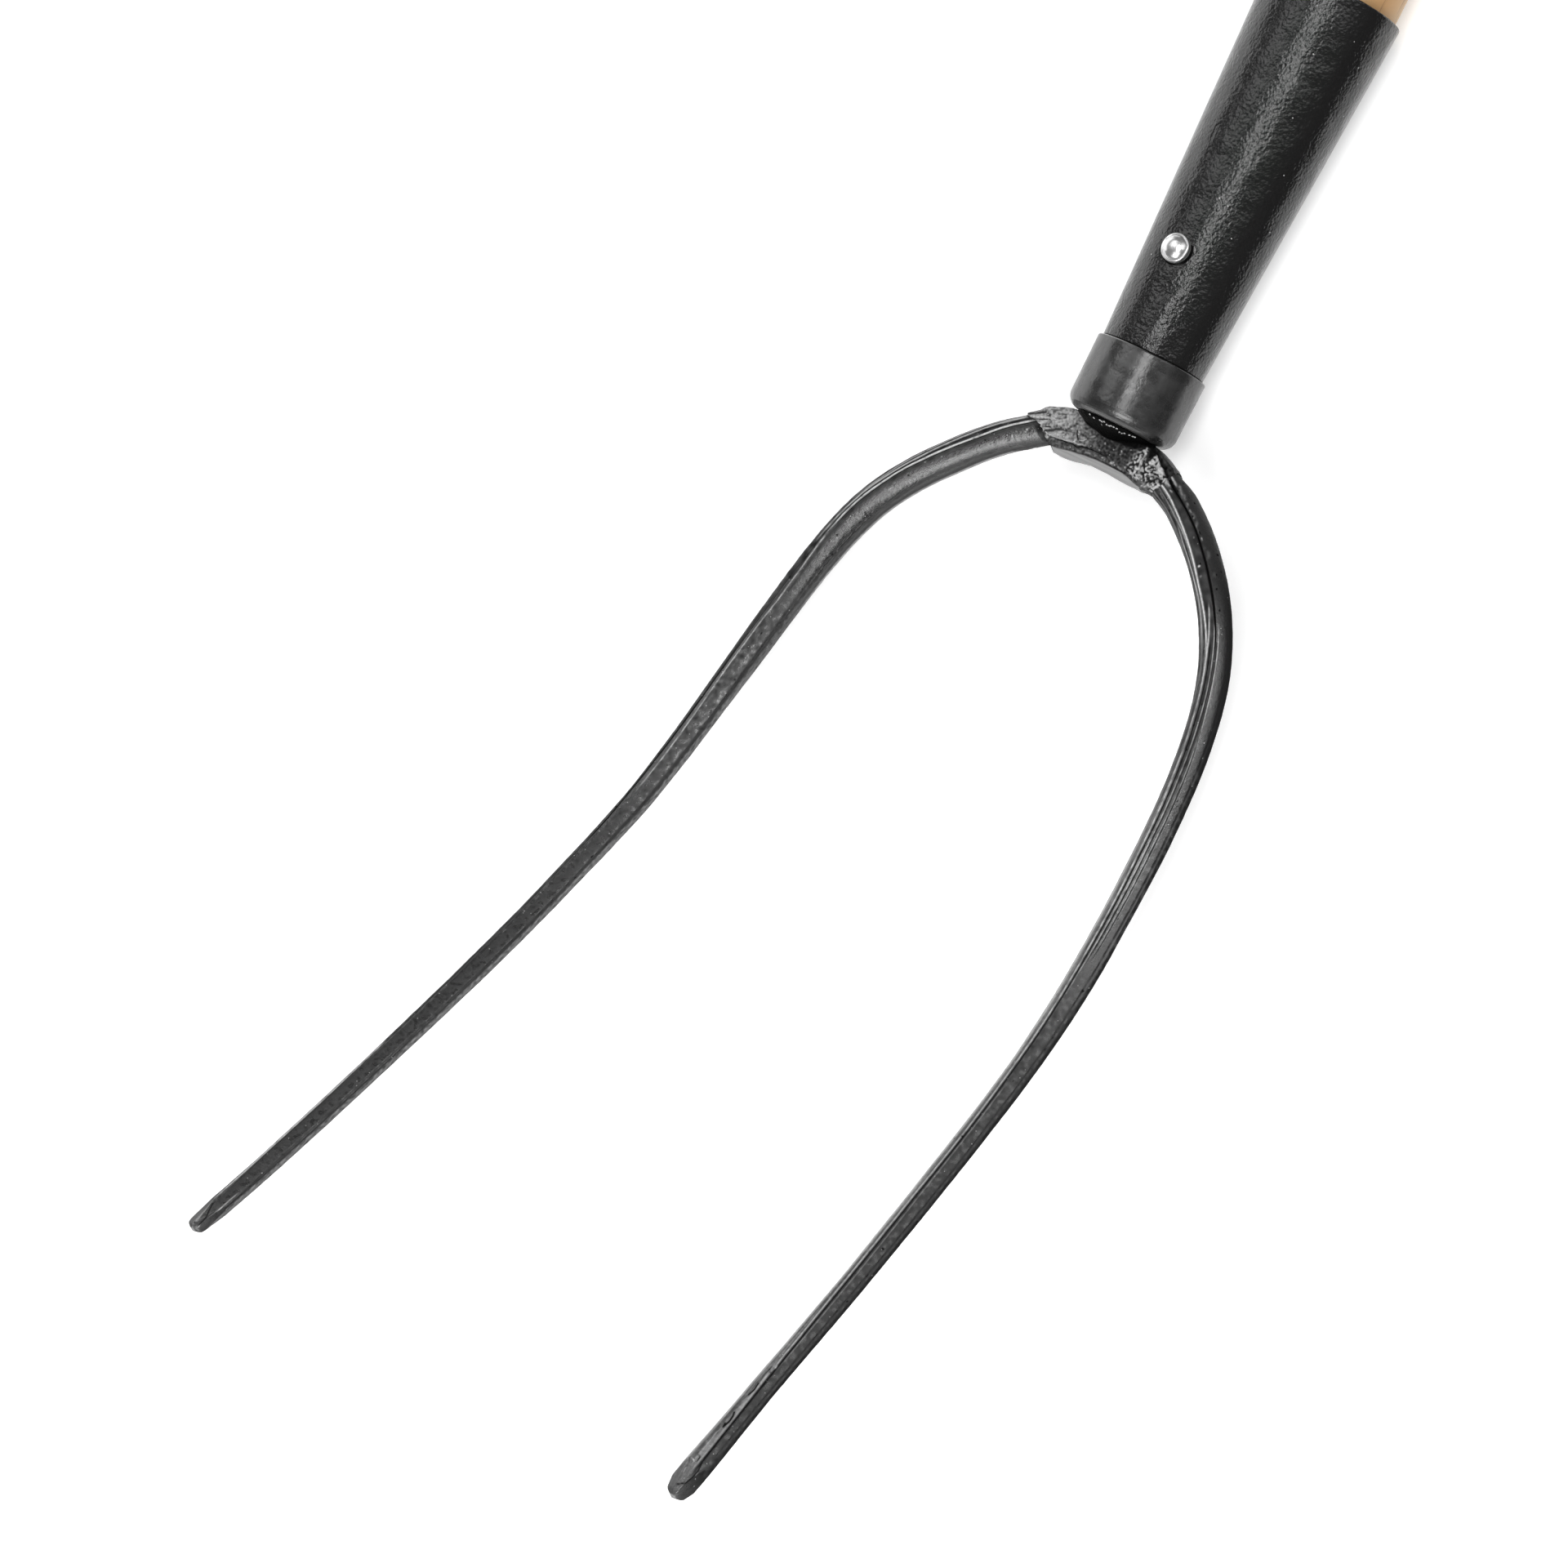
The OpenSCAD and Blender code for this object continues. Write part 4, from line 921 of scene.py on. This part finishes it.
def yoke_sections(u):
    """Outlines of the yoke at u, from -1 at the right tine to 1 at the left, in mm from its centreline.
    The first number is toward the handle and the second toward the top."""
    upper, lip = follow(u, HANDLE_SIDE, YOKE_EASE), follow(u, LIP, LIP_EASE)
    brow, foot = follow(u, BEVEL_TOP, YOKE_EASE), follow(u, BEVEL_FOOT, YOKE_EASE)
    step = follow(u, [(-1, 0.1), (-0.5, 0.25), (0.2, 0.35), (1, 0.5)], YOKE_EASE)
    rounded = past(-u, 0.55, 0.4)
    corner, slant = blend(1.3, 2.8, rounded), blend(0.7, 0.29, rounded)
    below = TOP_FACE - step - 0.1

    # Corners from the handle's side over the top and the bevel to the underside, each with the number
    # of points from it to the next.
    corners = [
        (upper, 0, 10),
        (upper, TOP_FACE - corner, 8),
        (upper - slant * corner * 0.42, TOP_FACE - corner * 0.42, 8),
        (upper - corner, TOP_FACE, 64),
        (lip + 0.12, TOP_FACE, 6),
        (lip - 0.12, TOP_FACE - step, 20),
        (brow, below, 16),
        (foot, below - (brow - foot) * 1.1, 14),
        (foot + 0.4, 0, 8),
        (foot + 1.2, 2.2 - TOP_FACE, 8),
        (foot + 2.8, -TOP_FACE, 20),
        (0.5 * upper - 1.0, -TOP_FACE * blend(1, 0.88, rounded), 8),
        (blend(1, 0.72, rounded) * (upper - 1.1), blend(1.1 - TOP_FACE, -3.2, rounded), 10),
    ]
    corners = [(out + 0 * u, up + 0 * u, count) for out, up, count in corners]
    sides = []
    for start, end in zip(corners, corners[1:] + corners[:1]):
        t = np.linspace(0, 1, start[2], endpoint=False)
        sides.append(np.stack([blend(start[i][:, None], end[i][:, None], t) for i in (0, 1)], -1))
    outline = np.concatenate(sides, 1)
    for _ in range(2):
        outline = (np.roll(outline, 1, 1) + 2 * outline + np.roll(outline, -1, 1)) / 4
    return outline


def place_sections(u, outline):
    """Points in mm of outlines around the yoke's centreline."""
    middle, root = np.array(YOKE_MIDDLE), np.array(TINE_ROOT)
    centre = blend(middle, root, (u * u)[:, None])
    centre[:, 1] = u * root[1]
    side, top = bar_axes(np.radians(90 - u * (90 - ROOT_ANGLE)), np.radians(HEEL_PITCH * u))
    return centre[:, None] + outline[..., :1] * side[:, None] + outline[..., 1:] * top[:, None]


def hammer_scale(points, place, across, up):
    """How far the forging's skin stands off its plain form, with how pale it is painted, for wear and
    painted light, and how black, for soot and painted shade.
    place runs along the yoke, and past 1 and -1 over the tines; across and up are in its section."""
    # Each noise has its size in mm and its seed. The last two are drawn out, slanting on the left of the
    # yoke and toward the handle on its right.
    coarse, middling, fine = (grain_noise(points, *kind) for kind in ((4.5, 11), (1.7, 12), (0.7, 13)))
    x, y, z = np.moveaxis(points, -1, 0)
    slanted = np.stack([0.8 * x - 0.6 * y, 0.6 * x + 0.8 * y, z], -1)
    drawn = grain_noise(slanted * (0.3, 1.3, 1), 1.2, 15)
    split = grain_noise(points * (0.35, 1.3, 1), 1.2, 16)
    flow = blend(split, drawn, past(place, -1 / 6, 1 / 3))

    lip, brow = follow(place, LIP, LIP_EASE), follow(place, BEVEL_TOP, YOKE_EASE)
    on_top, over_lip = past(up, 3.0, 1.2), past(across, lip, 0.4)
    plateau = on_top * over_lip
    ledge = on_top * (1 - over_lip) * past(across, brow, 0.3)
    ground = (1 - past(across, brow - 0.1, 0.25)) * past(up, 1.2, 0.8) * ease((1.03 - np.abs(place)) / 0.04)
    front = past(up, -4.5, 3.0)

    turn = np.radians(90 - (90 - ROOT_ANGLE) * np.clip(place, -1, 1))
    sunk = np.tan(np.radians(SIGHT_TILT)) * (5.0 - up)
    along = TINE_ROOT[1] * place - sunk * np.sin(turn) + 0.12 * middling
    over = across - sunk * np.cos(turn) + 0.1 * fine
    pale, black = (marked(along, over, marks) * front * (1 - ground) for marks in (PALE_MARKS, BLACK_MARKS))
    beyond = past(-along, 12, 1.5)
    crest = over - follow(along, RIGHT_GULLY, 1.0)
    gully = beyond * peak(crest, 0.42) * front
    outer = beyond * past(crest, 0, 0.4)
    # Painted shadow: the cap's shadow is painted black across the middle of the top.
    cap_shadow = ease((over - follow(along, CAP_SHADOW_EDGE, 1.0) + 0.3 * middling) / 0.9) * front * (1 - outer)
    granular = past(-along, 9, 2) * plateau * (1 - outer)
    teeth = blend(1, 0.7 + 0.3 * np.sin(along * 2 * np.pi / TOOTH_SPACING), beyond)

    stand = (1 - ground) * (1 - 0.8 * outer) * (0.14 * coarse + 0.1 * (middling + fine) + 0.08 * flow)
    stand = stand + granular * (0.1 * fine + 0.12 * middling)
    stand = stand + STRUCK_HEIGHT * pale * teeth - SCORE_DEPTH * black
    stand = stand - GULLY_DEPTH * gully - LEDGE_DEPTH * ledge * (1 + fine)

    # Painted light: the top is painted pale where it is lit, broken up by wear and grain.
    wear_and_highlight = 0.86 + (0.55 - 0.45 * granular) * flow + 0.4 * fine + 0.2 * middling
    lit = follow(along, LIT, 2.0) * np.clip(wear_and_highlight, 0.25, 1.25)
    lit = lit + granular * np.clip(1.1 * fine + 0.25 * flow + 0.4 * middling, -0.3, 0.4)
    lit = lit + 0.16 * plateau * np.clip(fine, -0.6, 1)
    bare_and_highlight = plateau * lit * (1 - cap_shadow) * (1 - outer) * (1 - black) + 0.14 * ledge * (1 + 2 * fine)
    bare_and_highlight = np.maximum(bare_and_highlight, pale * (0.92 + 0.3 * fine) * teeth)
    # Painted shade: black in the scores, the cap's shadow, the gully, the ledge, the outer side and what is
    # not lit.
    soot_and_shade = np.maximum(np.maximum(black, 0.95 * cap_shadow), gully) * (1 - 0.9 * pale)
    hollow_shade = 0.45 * ledge + 0.75 * plateau * (1 - share(lit * 2.2)) + 0.3 * outer
    soot_and_shade = np.maximum(soot_and_shade, hollow_shade * (1 - pale))
    return stand, {"bare_and_highlight": share(bare_and_highlight * (1 - gully)), "soot_and_shade": share(soot_and_shade), "ground": ground}


def outward(points, centre):
    """Unit directions from centres to points."""
    away = points - centre
    return away / np.linalg.norm(away, axis=-1, keepdims=True)


def yoke(finish):
    """The arch between the tines. Returns its outlines, from the right tine to the left."""
    u = np.linspace(-1, 1, int(2 * TINE_ROOT[1] / YOKE_STEP) + 1)
    outline = yoke_sections(u)
    plain, middle = place_sections(u, outline), place_sections(u, outline * 0)
    place = np.broadcast_to(u[:, None], plain.shape[:2])
    stand, masks = hammer_scale(plain, place, outline[..., 0], outline[..., 1])
    rings, masks = on_side(1, plain + stand[..., None] * outward(plain, middle), masks)
    piece = skin("yoke_forged", rings, finish, masks)
    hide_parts("yoke")
    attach(piece, "root")
    return outline


def boss(finish):
    """The boss under the cap, coved down to the arch, with its beads of spatter and the tang. It is
    painted black for soot and the shade under the cap, and its beads pale as bare steel with painted glints.
    """
    cove, wall = np.linspace(BOSS_FOOT, BOSS_TOP - 1.2, 18), np.linspace(BOSS_TOP - 1.1, BOSS_TOP - 0.1, 11)
    x = np.concatenate([cove, wall])
    r = blend(BOSS_CORE, BOSS_RADIUS, past(x, BOSS_FOOT + 0.6, COVE_HEIGHT))
    x = np.concatenate([x, [BOSS_TOP, BOSS_TOP + 0.1, BOSS_TOP + TANG_LENGTH]])[:, None]
    r = np.concatenate([r, [BOSS_RADIUS - 0.3, TANG_RADIUS, TANG_END_RADIUS]])[:, None]
    turns = np.linspace(0, 2 * np.pi, 720, endpoint=False)
    rings = np.stack(np.broadcast_arrays(x, r * np.cos(turns), r * np.sin(turns)), -1)
    rough = 0.25 * grain_noise(rings, 2.0, 21) + 0.12 * grain_noise(rings, 0.8, 22)
    rough = np.where((x > BOSS_FOOT + 0.1) & (x < BOSS_TOP - 0.05), rough, 0)
    beads = np.zeros_like(rough)
    for lean, seat in SPATTER:
        off = (x - seat) ** 2 + (r - np.interp(seat, x[:, 0], r[:, 0])) ** 2
        off = off + (BOSS_RADIUS * (turns - np.radians(90 - lean))) ** 2
        beads = np.maximum(beads, np.sqrt(share(1 - off / BEAD_RADIUS**2)))
    rings[..., 1:] *= (1 + (rough + BEAD_HEIGHT * beads) / r)[..., None]
    # Painted shade under the cap on the boss and tang, and painted glints on the beads.
    bright = share(beads * 3)
    piece = skin("yoke_boss", rings, finish, {"bare_and_highlight": bright, "soot_and_shade": 1 - bright, "ground": 0.0})
    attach(piece, "root")


fire_scale = forge_scale()
yoke_outline = yoke(fire_scale)
boss(fire_scale)

# Welds. The yoke's hot ends were lapped over the tines' roots and closed by the hammer. On the left
# the lap ends in a slanting seam, and on the right it fades into the tine outside a ragged edge. The
# lists give how far each lap reaches along the tine, in mm, by the angle round it in degrees.
LAP_RINGS = 34
LAP_STANDS, RAGGED, TUCK = 0.4, 0.25, 0.8
LAP_LEFT = [(-180, 1.6), (-120, 3.0), (0, 6.0), (35, 7.0), (46, 6.8), (56, 6.0), (64, 5.0), (76, 3.8),
            (90, 2.9), (104, 2.4), (125, 2.1), (150, 2.0), (180, 1.6)]
LAP_RIGHT = [(-180, 2.0), (-90, 1.4), (0, 1.4), (40, 1.5), (58, 2.0), (80, 2.6), (100, 3.2), (125, 3.2),
             (150, 2.4), (180, 2.0)]


def lap_centre(s):
    """Points of the +Y tine's centreline at places s, which may begin a little before its root."""
    before, after = np.linspace(-1, 0, 10, endpoint=False), np.linspace(0, 12, 121)
    lead = np.array(TINE_ROOT) + before[:, None] * course(heading(0 * before), pitch(0 * before))
    line = np.concatenate([lead, bar_line(after)])
    return np.stack([np.interp(s, np.concatenate([before, after]), line[:, k]) for k in range(3)], -1)


def lap(node, side, seed, finish):
    """The yoke's end drawn over one tine's root, from the yoke's last section to the seam."""
    ring = yoke_outline[-1 if side > 0 else 0]
    angle = np.degrees(np.arctan2(ring[:, 1], ring[:, 0]))
    ragged = np.interp(angle, np.linspace(-180, 180, 60), np.sin(np.arange(60) * 2.4 + seed))
    reach = np.interp(angle, *zip(*(LAP_LEFT if side > 0 else LAP_RIGHT))) + RAGGED * ragged
    q = np.linspace(0, 1, LAP_RINGS)
    s = q[:, None] * reach
    if side > 0:
        rim = ROOT_WIDTH / 2 + LAP_STANDS + 0.55 * near(angle, 28, 30)
    else:
        faded = ease((50 - angle) / 8) * past(angle, -100, 20)
        rim = ROOT_WIDTH / 2 + blend(LAP_STANDS, 0.02, faded)
        rim = rim - 1.5 * near(angle, PINCH_ANGLE, PINCH_WIDTH) * (1 - past(s, -1, 10))
        rim = rim + SWELL_HEIGHT * near(angle, SWELL_ANGLE, SWELL_WIDTH) * (1 - past(s, -1, 11))
    radius = blend(np.hypot(ring[:, 0], ring[:, 1]), rim, ease(q[:, None], 2.6))

    turn, centre = np.radians(angle), lap_centre(s)
    plain = set_around(centre, bar_axes(heading(s), pitch(s)), radius, turn)
    place = side * (1 + s / TINE_ROOT[1])
    stand, masks = hammer_scale(plain * (1, side, 1), place, radius * np.cos(turn), radius * np.sin(turn))
    away = outward(plain, centre)
    rings = plain + (stand * ease((1 - q) / 0.15)[:, None])[..., None] * away
    root = rings[:1] - 1.5 * course(heading(np.zeros(1)), pitch(np.zeros(1))) - TUCK * away[:1]
    rings = np.concatenate([root, rings, rings[-1:] - TUCK * away[-1:]])
    masks = {label: np.concatenate([values[:1], values, values[-1:]]) for label, values in masks.items()}
    # Painted shade: the last rings, tucked in at the seam, are painted black, more on the left.
    masks["soot_and_shade"][-2:] = 0.9 if side > 0 else 0.3
    rings, masks = on_side(side, rings, masks)
    piece = skin(node + "_lap", rings, finish, masks)
    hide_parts(node)
    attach(piece, "root")


lap("weld_left", 1, 0.0, fire_scale)
lap("weld_right", -1, 2.0, fire_scale)

# Floor and light. A pale sheet of board under the fork and soft boxes over it, in a white room that
# lights them faintly. A dark tent and a black flag round them glow an even grey and are seen by
# reflections alone, as painted reflections, so that black steel keeps deep darks beside its highlights.
FLOOR_WHITE = "#F2F2F2"
FLOOR_SIZE = 12.0
TENT_RADIUS = 3.2
TENT_ROWS = [0, 15, 30, 45, 60, 75, 88]
TENT_PANELS = 36
TENT_GREY = "#808080"
FLAG_SIDES = (-1.5, 1.2, -2.0, -0.05)
FLAG_GREY = "#686868"
ROOM_LIGHT = 0.12


def seen_directly(finish):
    """1 for what the lens, a reflection or glass sees, and 0 for what lights the object."""
    rays = add(finish, "LightPath").outputs
    seen = rays["Is Camera Ray"]
    for kind in ("Is Glossy Ray", "Is Transmission Ray"):
        seen = add(finish, "Math", {"operation": "MAXIMUM"}, {"Value": seen, "Value_001": rays[kind]})
    return seen


def paper_board():
    """Matt white board, brighter far off to the lens and in reflections so that it stays white."""
    finish = new_finish("paper_board")
    place = add(finish, "TexCoord").outputs["Object"]
    away = add(finish, "VectorMath", {"operation": "LENGTH"}, {"Vector": place}).outputs["Value"]
    spread = {"From Min": 0.7, "From Max": 2.6, "To Min": 0.36, "To Max": 0.88}
    fill = add(finish, "MapRange", spread, {"Value": away})
    lift = add(finish, "Math", {"operation": "MULTIPLY"}, {"Value": fill, "Value_001": seen_directly(finish)})
    white = {"Base Color": colour(FLOOR_WHITE), "Roughness": 0.9, "Emission Color": (1, 1, 1, 1)}
    board = add(finish, "BsdfPrincipled", white, {"Emission Strength": lift})
    add(finish, "OutputMaterial", {}, {"Surface": board})
    return finish


def stage_piece(name, corners, faces, finish):
    mesh = bpy.data.meshes.new(name)
    mesh.from_pydata(corners, [], faces)
    mesh.materials.append(finish)
    piece = bpy.data.objects.new(name, mesh)
    bpy.context.scene.collection.objects.link(piece)
    return piece


def reflection_only_glow(name, glow_finish, grey, corners, faces):
    """A sheet glowing an even grey that only reflections see, as a painted reflection: it lights
    nothing and throws no shadow.
    """
    finish = new_finish(glow_finish)
    face = add(finish, "Emission", {"Color": colour(grey)})
    add(finish, "OutputMaterial", {}, {"Surface": face})
    piece = stage_piece(name, corners, faces, finish)
    piece.visible_camera = piece.visible_diffuse = False
    piece.visible_shadow = piece.visible_transmission = False


def sheet(x0, x1, y0, y1, height):
    return [(x0, y0, height), (x1, y0, height), (x1, y1, height), (x0, y1, height)]


low = cad_box[0][2]
edge = FLOOR_SIZE / 2
stage_piece("floor", sheet(-edge, edge, -edge, edge, low), [(0, 1, 2, 3)], paper_board())

turns = np.linspace(0, 2 * np.pi, TENT_PANELS, endpoint=False)
walls = []
for up in np.radians(TENT_ROWS):
    reach, height = TENT_RADIUS * np.cos(up), low + TENT_RADIUS * np.sin(up)
    walls += [(reach * np.cos(turn), reach * np.sin(turn), height) for turn in turns]
panels = []
for row in range(0, len(walls) - TENT_PANELS, TENT_PANELS):
    for k in range(TENT_PANELS):
        beside = (k + 1) % TENT_PANELS
        panels.append((row + k, row + beside, row + TENT_PANELS + beside, row + TENT_PANELS + k))
# Painted reflection: the tent glows a dim grey for reflections only.
reflection_only_glow("dark_tent", "dim_reflected_glow", TENT_GREY, walls, panels)
# Painted reflection: the flag lies on the floor in front and glows dark grey for reflections only, hiding the
# white floor there.
reflection_only_glow("black_flag", "dark_reflected_glow", FLAG_GREY, sheet(*FLAG_SIDES, low + MM), [(0, 1, 2, 3)])


def soft_box(name, place, aim, width, length, radiance):
    """Rectangular lamp whose face has the given radiance, with its length along the handle."""
    lamp = bpy.data.lights.new(name, "AREA")
    lamp.shape = "RECTANGLE"
    lamp.size, lamp.size_y = length, width
    lamp.energy = radiance * np.pi * width * length
    body = bpy.data.objects.new(name, lamp)
    back = (Vector(place) - Vector(aim)).normalized()
    along = (Vector((1, 0, 0)) - back.x * back).normalized()
    turned = Matrix((along, back.cross(along), back)).transposed().to_4x4()
    body.matrix_world = Matrix.Translation(place) @ turned
    body.visible_camera = False
    bpy.context.scene.collection.objects.link(body)


soft_box("key_box", (-1.45, -0.62, 1.2), (-0.2, 0, 0), 0.95, 1.3, 6.5)
soft_box("front_box", (0.10, -0.45, 1.38), (-0.1, 0, 0), 0.44, 0.95, 6.4)
soft_box("back_box", (0.3, 0.55, 1.25), (-0.1, 0, 0), 0.75, 0.8, 2.0)
soft_box("strip_box", (0.67, -1.04, 0.85), (-0.2, 0, 0), 0.95, 1.1, 1.4)
soft_box("rear_box", (0.1, 1.7, 0.42), (-0.2, 0, 0), 0.9, 2.2, 1.6)

world = bpy.data.worlds.new("white_room")
world.use_nodes = True
world.node_tree.nodes.clear()
level = add(world, "MapRange", {"To Min": ROOM_LIGHT, "To Max": 1.0}, {"Value": seen_directly(world)})
room = add(world, "Background", {"Color": (1, 1, 1, 1)}, {"Strength": level})
add(world, "OutputWorld", {}, {"Surface": room})
bpy.context.scene.world = world
bpy.context.scene.view_settings.view_transform = "Standard"

# Camera. A long lens above and in front of the head, tilted from straight down and rolled so that the
# handle leaves the picture at its upper right, as in the photograph.
CAMERA_PLACE = (-0.2583, -0.8343, 1.5198)
CAMERA_ROLL = -63.2
lens = bpy.data.cameras.new("lens")
lens.sensor_width = 36.0
lens.lens = 146.25
camera = bpy.data.objects.new("camera", lens)
tilt = Matrix.Rotation(np.radians(SIGHT_TILT), 4, "X")
roll = Matrix.Rotation(np.radians(CAMERA_ROLL), 4, "Z")
camera.matrix_world = Matrix.Translation(CAMERA_PLACE) @ tilt @ roll
bpy.context.scene.collection.objects.link(camera)
bpy.context.scene.camera = camera
